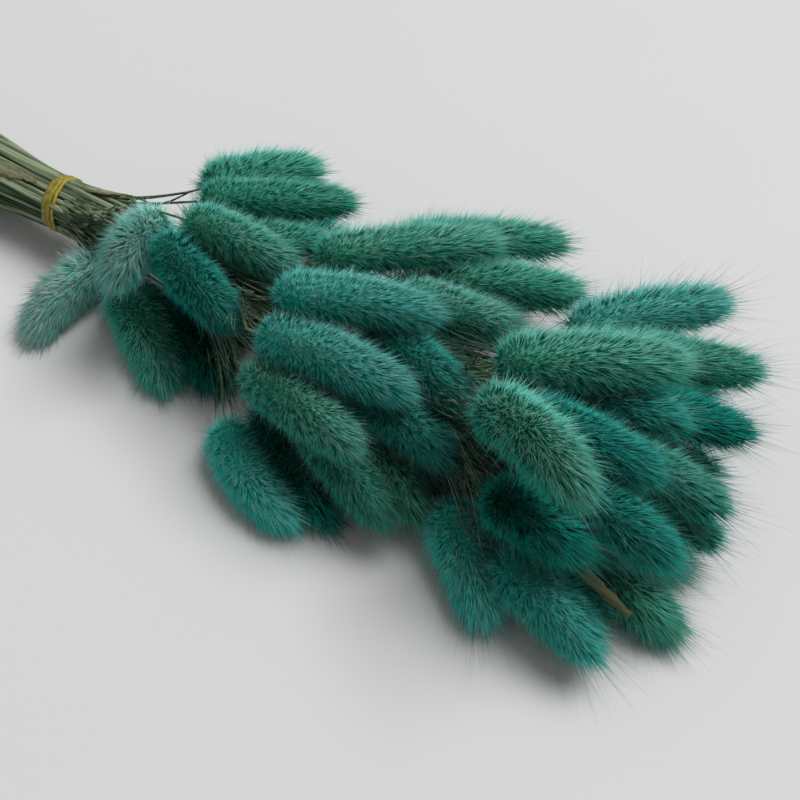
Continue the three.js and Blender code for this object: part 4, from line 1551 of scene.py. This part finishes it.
@dataclass
class Stalks:
    """The stems, and the fine dry strands that have come loose between them.

    Past the sheaths a stem slims down. A tier's stems have their number of loose strands each, and each
    group of inner strands has the X that it lies between, its number and how far it spreads.
    """

    bunch: Bunch
    sides: int = 7
    slimming: float = 0.5
    slims_from: float = 14.0
    slims_over: float = 22.0
    sheathed_to: float = 8.0
    strands: tuple[int, int, int] = (0, 25, 30)
    strands_from: float = 40.0
    strand_lengths: Span = (14.0, 40.0)
    strand_room: float = 62.0
    strand_drift: Span = (1.3, 3.8)
    inner: tuple[Row, ...] = (
        (38, 74, 150, 7.0), (112, 150, 330, 11.0), (134, 158, 170, 9.0), (82, 106, 70, 15.0),
    )
    inner_lengths: Span = (18.0, 42.0)
    inner_sideways: Span = (-1.4, 2.2)
    inner_upwards: Span = (-1.5, 0.3)
    strand_radii: tuple[float, ...] = (0.09, 0.13, 0.2, 0.28)
    inner_widening: Span = (1.0, 1.5)
    taper: tuple[float, ...] = (0.6, 1, 1, 0.9, 0.7, 0.3)
    least_run: float = 0.6
    waviness: float = 0.7
    waves: Span = (3.0, 7.0)
    seed: int = 3

    def build(self) -> list[bpy.types.Object]:
        """Makes the stems and the strands.

        Returns:
            The pieces.
        """
        tubes = Tubes()
        return [
            tubes.build("stalks", [self._stem(head) for head in self.bunch.heads], self.sides, STALK.build()),
            tubes.build("loose_strands", list(self._strands()), 3, STRAND.build()),
            tubes.build("inner_strands", list(self._inner_strands()), 3, SHADED_INNER.build()),
        ]

    def _stem(self, head: Head) -> tuple[Points, Points]:
        """A stem's line, with fewer points where it is wrapped in its sheath, and its radii."""
        x = head.line[:, 0]
        bare = np.clip((x - self.slims_from) / self.slims_over, 0, 1)
        radii = np.array([head.stem_radius(place) for place in x]) * (1 - (1 - self.slimming) * bare)
        keep = np.unique(np.append(np.nonzero(x > self.sheathed_to)[0], np.arange(0, len(radii), 4)))
        return head.line[keep], radii[keep]

    def _strands(self) -> Iterator[tuple[Points, Points]]:
        """Lines of the loose strands, each along a stem and drifting away from it.

        Yields:
            A line and its radii.
        """
        draw = np.random.default_rng(self.seed)
        for head in self.bunch.heads:
            line = head.line[head.line[:, 0] > self.strands_from]
            if len(line) < 3:
                continue
            run = run_of(line)
            for _ in range(self.strands[head.tier]):
                length = draw.uniform(*self.strand_lengths)
                latest = max(1.0, run[-1] - length * self.least_run)
                start = draw.uniform(max(0.0, run[-1] - self.strand_room), latest)
                at = np.linspace(start, min(start + length, run[-1]), len(self.taper))
                near, far = (draw.normal(0, drift, 3) for drift in self.strand_drift)
                yield self._drift(draw, read_off(at, run, line), near, far)

    def _inner_strands(self) -> Iterator[tuple[Points, Points]]:
        """Lines of the short strands that fill the bunch between its tiers, darkened with painted shade.

        Yields:
            A line and its radii.
        """
        draw = np.random.default_rng(self.seed + 1)
        for low, high, count, spread in self.inner:
            for _ in range(int(count)):
                start = draw.uniform(low, high)
                at = np.linspace(start, start + draw.uniform(*self.inner_lengths), len(self.taper))
                middle = np.array([trunk_point(x) for x in at])
                sideways = spread * draw.uniform(*self.inner_sideways)
                near = np.array([0, sideways, spread * draw.uniform(*self.inner_upwards)])
                yield self._drift(draw, middle, near, near * draw.uniform(*self.inner_widening))

    def _drift(
        self, draw: np.random.Generator, spots: Points, near: Points, far: Points
    ) -> tuple[Points, Points]:
        """Lets a strand drift away from the line that it follows.

        Args:
            draw: the random numbers.
            spots: the points of the line.
            near: how far off the line the strand starts.
            far: how far off it ends.

        Returns:
            The strand's line and its radii.
        """
        t = np.linspace(0, 1, len(spots))[:, None]
        wave = draw.normal(0, self.waviness, 3) * np.sin(t * draw.uniform(*self.waves))
        spots = spots + near + (far - near) * t**1.5 + wave
        spots[:, 2] = np.maximum(spots[:, 2], LOWEST_LINE)
        return spots, draw.choice(self.strand_radii) * np.array(self.taper)


# The leaves and sheaths


@dataclass
class Blade:
    """A thin dry blade along a line: cupped, veined and ragged at its edges and ends."""

    points: Points
    facings: Points
    widths: Points
    seed: int
    thickness: float = 0.22
    cup: float = 0.16
    ragged: float = 0.12
    waviness: float = 0.05
    waves_along: float = 1.1
    waves_across: float = 3.0
    frayed: Span = (0.6, 0.9)
    smoothing: tuple[float, float, float] = (0.25, 0.5, 0.25)
    smoothings: int = 4
    columns: int = 6
    step: float = 1.2

    def shape(self) -> tuple[Points, Faces]:
        """Works out the blade's mesh.

        Returns:
            Its points, in millimetres in the layout, and its faces.
        """
        draw = np.random.default_rng(self.seed)
        run = run_of(self.points)
        count = max(5, int(run[-1] / self.step))
        at = np.linspace(0, run[-1], count)
        line = read_off(at, run, self.points)
        for _ in range(self.smoothings):
            line[1:-1] = np.column_stack([np.convolve(column, self.smoothing, "valid") for column in line.T])
        width = np.interp(at, run, self.widths)
        facing = read_off(at, run, self.facings)
        tangent = unit(np.gradient(line, axis=0))
        normal = unit(facing - (facing * tangent).sum(1, keepdims=True) * tangent)
        across = np.cross(normal, tangent)
        spread = np.linspace(-0.5, 0.5, self.columns)
        edge = 1 + self.ragged * draw.normal(size=(count, 2))
        share = np.where(spread[None] < 0, spread * edge[:, :1], spread * edge[:, 1:])
        phase = at[:, None] * self.waves_along + draw.uniform(0, 6) + self.waves_across * spread[None]
        wave = self.waviness * np.sin(phase)
        lift = (self.cup * (1 - (2 * spread[None]) ** 2) + wave) * width[:, None] * 0.5
        along = np.zeros((count, self.columns))
        inward, outward = self.frayed
        along[0] = draw.uniform(0, inward, self.columns)
        along[-1] = draw.uniform(-outward, outward, self.columns) * min(1.0, width[-1])
        face = line[:, None] + across[:, None] * (share * width[:, None])[..., None]
        face = face + normal[:, None] * lift[..., None] + tangent[:, None] * along[..., None]
        top = face + normal[:, None] * self.thickness / 2
        under = face - normal[:, None] * self.thickness / 2
        rings = np.concatenate([top[:, ::-1], under], axis=1)
        points = np.vstack([rings.reshape(-1, 3), rings[0].mean(0), rings[-1].mean(0)])
        return points, ring_faces(count, 2 * self.columns)


def build_blades(name: str, blades: list[Blade], material: bpy.types.Material) -> bpy.types.Object:
    """Makes several blades as one object.

    Args:
        name: the object's name.
        blades: the blades.
        material: the material.

    Returns:
        The object.
    """
    points, faces, tones = [], [], []
    first = 0
    for blade in blades:
        spots, own = blade.shape()
        spots[:, 2] = np.maximum(spots[:, 2], LOWEST_LEAF)
        points.append(spots)
        faces += [tuple(v + first for v in face) for face in own]
        tones.append(np.full(len(spots), np.random.default_rng(blade.seed + 5).uniform()))
        first += len(spots)
    made = new_object(name, to_frame(np.vstack(points)), faces)
    add_numbers(made, "tone", np.concatenate(tones))
    made.data.materials.append(material)
    return made


@dataclass
class Leaves:
    """The sheaths that wrap the bundle, the ragged leaf ends past the tie, and the dry leaves."""

    bunch: Bunch
    seat: float = 0.15
    sheaths: int = 78
    sheath_seed: int = 7
    sheath_angles: Span = (-5.0, 5.0)
    sheath_starts: Span = (-4.0, 8.0)
    sheath_ends: Span = (16.0, 50.0)
    sheath_widths: tuple[float, ...] = (1.0, 1.3, 1.7, 2.4)
    sheath_trims: Span = (0.85, 1.1)
    sheath_drifts: Span = (-20.0, 20.0)
    sheath_lifts: Span = (-0.25, 0.35)
    sheath_tip: float = 0.3
    sheath_taper: float = 20.0
    sheath_step: float = 6.0
    bits: int = 44
    bit_seed: int = 11
    bit_starts: Span = (3.5, 16.0)
    bit_lengths: Span = (8.0, 22.0)
    bit_angles: Span = (90.0, 250.0)
    bit_widths: Span = (0.9, 2.6)
    bit_turns: Span = (-45.0, 45.0)
    bit_rises: Span = (0.6, 4.6)
    bit_places: tuple[float, ...] = (0.0, 0.35, 0.7, 1.0)
    bit_taper: float = 0.55
    leaf_width: float = 1.1
    tier_leaf_width: float = 0.74

    def _bundle_blade(self, rows: list[Row], seed: int, **shape: float) -> Blade:
        """A blade that lies on the stems.

        Args:
            rows: x, angle round the bundle, lift and width.
            seed: the blade's seed.
            shape: sizes that differ from a plain blade's.

        Returns:
            The blade.
        """
        x, angle, lift, width = np.array(rows, float).T
        angle = np.radians(angle)
        facings = np.column_stack([np.zeros(len(rows)), np.cos(angle), np.sin(angle)])
        reach = [self.bunch.reach(*spot) for spot in zip(x, facings, width)]
        out = np.array(reach) + lift + self.seat
        points = np.array([trunk_point(place) for place in x]) + facings * out[:, None]
        return Blade(points, facings, width, seed, **shape)

    def build(self) -> list[bpy.types.Object]:
        """Makes the sheaths, the leaf ends and the seven dry leaves.

        Returns:
            The pieces.
        """
        sheaths = build_blades("leaf_sheaths", list(self._sheaths()), SHEATH.build())
        bits = build_blades("leaf_bits", list(self._bits()), SCRAP.build())
        return [finish(sheaths, "stems"), finish(bits, "stems"), *self._leaves()]

    def _leaves(self) -> Iterator[bpy.types.Object]:
        """Makes the seven dry leaves.

        Yields:
            A leaf.
        """
        material = LEAF.build()
        for i, (name, rows) in enumerate(BUNDLE_LEAVES.items()):
            raised = [(x, angle, lift + SEAT_GAP, width * self.leaf_width) for x, angle, lift, width in rows]
            blade = self._bundle_blade(raised, 40 + i, ragged=0.2)
            yield finish(build_blades(f"dry_{name}", [blade], material), name)
        table = np.array(TIER_LEAF, float)
        facings = np.tile(np.array(TIER_LEAF_FACING), (len(table), 1))
        blade = Blade(table[:, :3], facings, table[:, 3] * self.tier_leaf_width, 60, ragged=0.16, cup=0.5)
        yield finish(build_blades("dry_leaf_top_tier", [blade], TAN.build()), "leaf_top_tier")

    def _sheaths(self) -> Iterator[Blade]:
        """The strips that wrap the bundle from its cut end to past the tie, flat where it is tied.

        Yields:
            A strip.
        """
        draw = np.random.default_rng(self.sheath_seed)
        for k in range(self.sheaths):
            angle = 360.0 * k / self.sheaths + draw.uniform(*self.sheath_angles)
            start = CUT_END_X + draw.uniform(*self.sheath_starts)
            end = draw.uniform(*self.sheath_ends)
            width = draw.choice(self.sheath_widths) * draw.uniform(*self.sheath_trims)
            drift = draw.uniform(*self.sheath_drifts)
            lift = draw.uniform(*self.sheath_lifts)
            rows = []
            for x in np.append(np.arange(start, end, self.sheath_step), end):
                tied = math.exp(-((x / TIE_HALF) ** 2))
                taper = min(1.0, self.sheath_tip + (end - x) / self.sheath_taper)
                turn = angle + drift * (x / -CUT_END_X)
                rows.append((x, turn, lift * (1 - tied) - self.seat * tied, width * taper))
            yield self._bundle_blade(
                rows, 200 + k, cup=0.95, ragged=0.04, step=self.sheath_step, columns=4
            )

    def _bits(self) -> Iterator[Blade]:
        """The ragged ends of dry leaves that stick out just past the tie.

        Yields:
            A leaf end.
        """
        draw = np.random.default_rng(self.bit_seed)
        ranges = (self.bit_starts, self.bit_lengths, self.bit_angles, self.bit_widths, self.bit_turns)
        for k in range(self.bits):
            start, length, angle, width, turn, rise = (draw.uniform(*r) for r in (*ranges, self.bit_rises))
            rows = []
            for t in self.bit_places:
                lift = SEAT_GAP + rise * t * t
                rows.append((start + length * t, angle + turn * t, lift, width * (1 - self.bit_taper * t)))
            yield self._bundle_blade(rows, 400 + k, cup=0.35, ragged=0.22, step=0.9, columns=4)


# The rubber band


@dataclass
class Band:
    """The rubber band, wound three times round the tie, its last turn the narrowest.

    Each turn has its place along the bundle, how far it wanders on its way round, its width, its
    thickness, how far its middle lies off the stems, and how much painted highlight it has, the thin last
    turn the most. The bumps have their height, their number round the band, and 1 where they differ from
    turn to turn.
    """

    turns: tuple[Row, ...] = (
        (-1.25, 0.15, 1.75, 1.05, 0.55, 0.1),
        (0.35, 0.25, 1.7, 1.05, 0.6, 0.4),
        (1.75, 0.75, 1.05, 0.9, 0.62, 1.0),
    )
    bumps: tuple[Row, ...] = ((0.12, 9, 1), (0.08, 17, 0))
    wanders_at: float = 2.4
    slant: Span = (-4.0, 6.0)
    steps: int = 110
    sides: int = 12
    squareness: float = 0.6

    def _turn(self, along: float, swing: float, width: float, depth: float, radius: float) -> Points:
        """Rings of one closed turn of the band.

        Args:
            along: where the turn lies along the bundle.
            swing: how far it wanders along the bundle on its way round.
            width: its width.
            depth: its thickness.
            radius: the radius of its middle.

        Returns:
            The rings, as steps by sides by three.
        """
        t = np.linspace(0, 2 * np.pi, self.steps, endpoint=False)
        a = np.linspace(0, 2 * np.pi, self.sides, endpoint=False)
        ahead = np.array([1.0, 0, 0])
        outward = np.column_stack([np.zeros(self.steps), np.cos(t), np.sin(t)])
        bumps = sum(height * np.sin(count * t + differs * along) for height, count, differs in self.bumps)
        place = along + swing * np.cos(t - self.wanders_at) ** 3
        centre = outward * (radius + bumps)[:, None] + place[:, None] * ahead
        out, on = (np.sign(wave) * np.abs(wave) ** self.squareness for wave in (np.cos(a), np.sin(a)))
        section = outward[:, None] * (out * depth / 2)[None, :, None]
        return centre[:, None] + section + ahead * (on * width / 2)[None, :, None]

    def _faces(self) -> Faces:
        """The faces of all the turns, each closed on itself and facing out."""
        return [
            tuple(
                (k * self.steps + row % self.steps) * self.sides + column % self.sides
                for row, column in ((i, j), (i, j + 1), (i + 1, j + 1), (i + 1, j))
            )
            for k in range(len(self.turns))
            for i in range(self.steps)
            for j in range(self.sides)
        ]

    def build(self) -> bpy.types.Object:
        """Makes the band.

        Returns:
            The piece.
        """
        inner = TIE_RADIUS + SHEATH_RADIUS + 1.5 * SEAT_GAP
        rings = [self._turn(*turn[:4], inner + turn[4]) for turn in self.turns]
        (cos_y, sin_y), (cos_z, sin_z) = (
            (math.cos(math.radians(angle)), math.sin(math.radians(angle))) for angle in self.slant
        )
        about_y = np.array([[cos_y, 0, sin_y], [0, 1, 0], [-sin_y, 0, cos_y]])
        about_z = np.array([[cos_z, -sin_z, 0], [sin_z, cos_z, 0], [0, 0, 1]])
        spots = np.concatenate(rings).reshape(-1, 3) @ (about_z @ about_y).T + trunk_point(0.0)
        piece = new_object("yellow_band", to_frame(spots), self._faces())
        # Painted highlight: each turn's share, which lightens its rubber.
        highlights = [turn[5] for turn in self.turns]
        add_numbers(piece, "tone", np.repeat(highlights, self.steps * self.sides))
        piece.data.materials.append(RubberFinish().build())
        return finish(piece, "rubber_band")


# The studio


@dataclass
class Studio:
    """The camera, the floor and the light. The aim and the distance are in the layout's millimetres."""

    aim: Colour = (127.0, 5.0, 0.0)
    azimuth: float = 34.0
    elevation: float = 52.0
    distance: float = 370.0
    lens: float = 55.5
    floor_half: float = 3.0
    window_place: Colour = (1.46, 1.88, 4.30)
    window_aim: Colour = (0.05, 0.0, 0.0)
    window_size: float = 3.0
    window_power: float = 238.0
    room_light: float = 0.255

    def build(self) -> None:
        """Sets up the whole studio."""
        self._camera()
        self._floor()
        self._light()

    @staticmethod
    def _aim(looker: bpy.types.Object, way: Vector) -> None:
        """Turns a camera or a lamp to look a way."""
        looker.rotation_euler = way.to_track_quat("-Z", "Y").to_euler()

    def _camera(self) -> None:
        """Places the camera where the photograph was taken from."""
        turn, rise = math.radians(self.azimuth), math.radians(self.elevation)
        back = Vector((math.sin(turn) * math.cos(rise), -math.cos(turn) * math.cos(rise), math.sin(rise)))
        data = bpy.data.cameras.new("camera")
        data.lens = self.lens
        data.sensor_width = 36.0
        data.clip_start = 0.01
        camera = link_object("camera", data)
        camera.location = Vector(to_frame(np.array(self.aim))) + back * self.distance * MM
        self._aim(camera, -back)
        bpy.context.scene.camera = camera

    def _floor(self) -> None:
        """Lays the floor."""
        corners = self.floor_half * np.array([(-1, -1, 0), (1, -1, 0), (1, 1, 0), (-1, 1, 0)])
        floor = new_object("floor", corners, [(0, 1, 2, 3)], smooth=False)
        floor.data.materials.append(FloorFinish().build())

    def _light(self) -> None:
        """Sets the soft light: a broad window behind and to the right, and the room all round."""
        world = bpy.data.worlds.new("room")
        world.use_nodes = True
        sky = world.node_tree.nodes["Background"]
        sky.inputs["Color"].default_value = (1.0, 1.0, 1.0, 1.0)
        sky.inputs["Strength"].default_value = self.room_light
        bpy.context.scene.world = world
        lamp = bpy.data.lights.new("window", "AREA")
        lamp.size = self.window_size
        lamp.energy = self.window_power
        window = link_object("window", lamp)
        window.location = self.window_place
        self._aim(window, Vector(self.window_aim) - Vector(self.window_place))


def triangles(piece: bpy.types.Object) -> int:
    """How many triangles a piece has."""
    return sum(len(face.vertices) - 2 for face in piece.data.polygons)


def main() -> None:
    """Builds the studio and the bunch, and reports each piece."""
    logging.basicConfig(level=logging.INFO, format="%(name)s %(message)s")
    bpy.context.scene.view_settings.view_transform = "Standard"
    bunch = Bunch()
    Studio().build()
    pieces = Stalks(bunch).build() + Leaves(bunch).build() + [Band().build()] + Plumes(bunch).build()
    for piece in pieces:
        LOG.info("%s: %d triangles", piece.name, triangles(piece))
    LOG.info("all %d pieces: %d triangles", len(pieces), sum(triangles(piece) for piece in pieces))


if __name__ == "__main__":
    main()
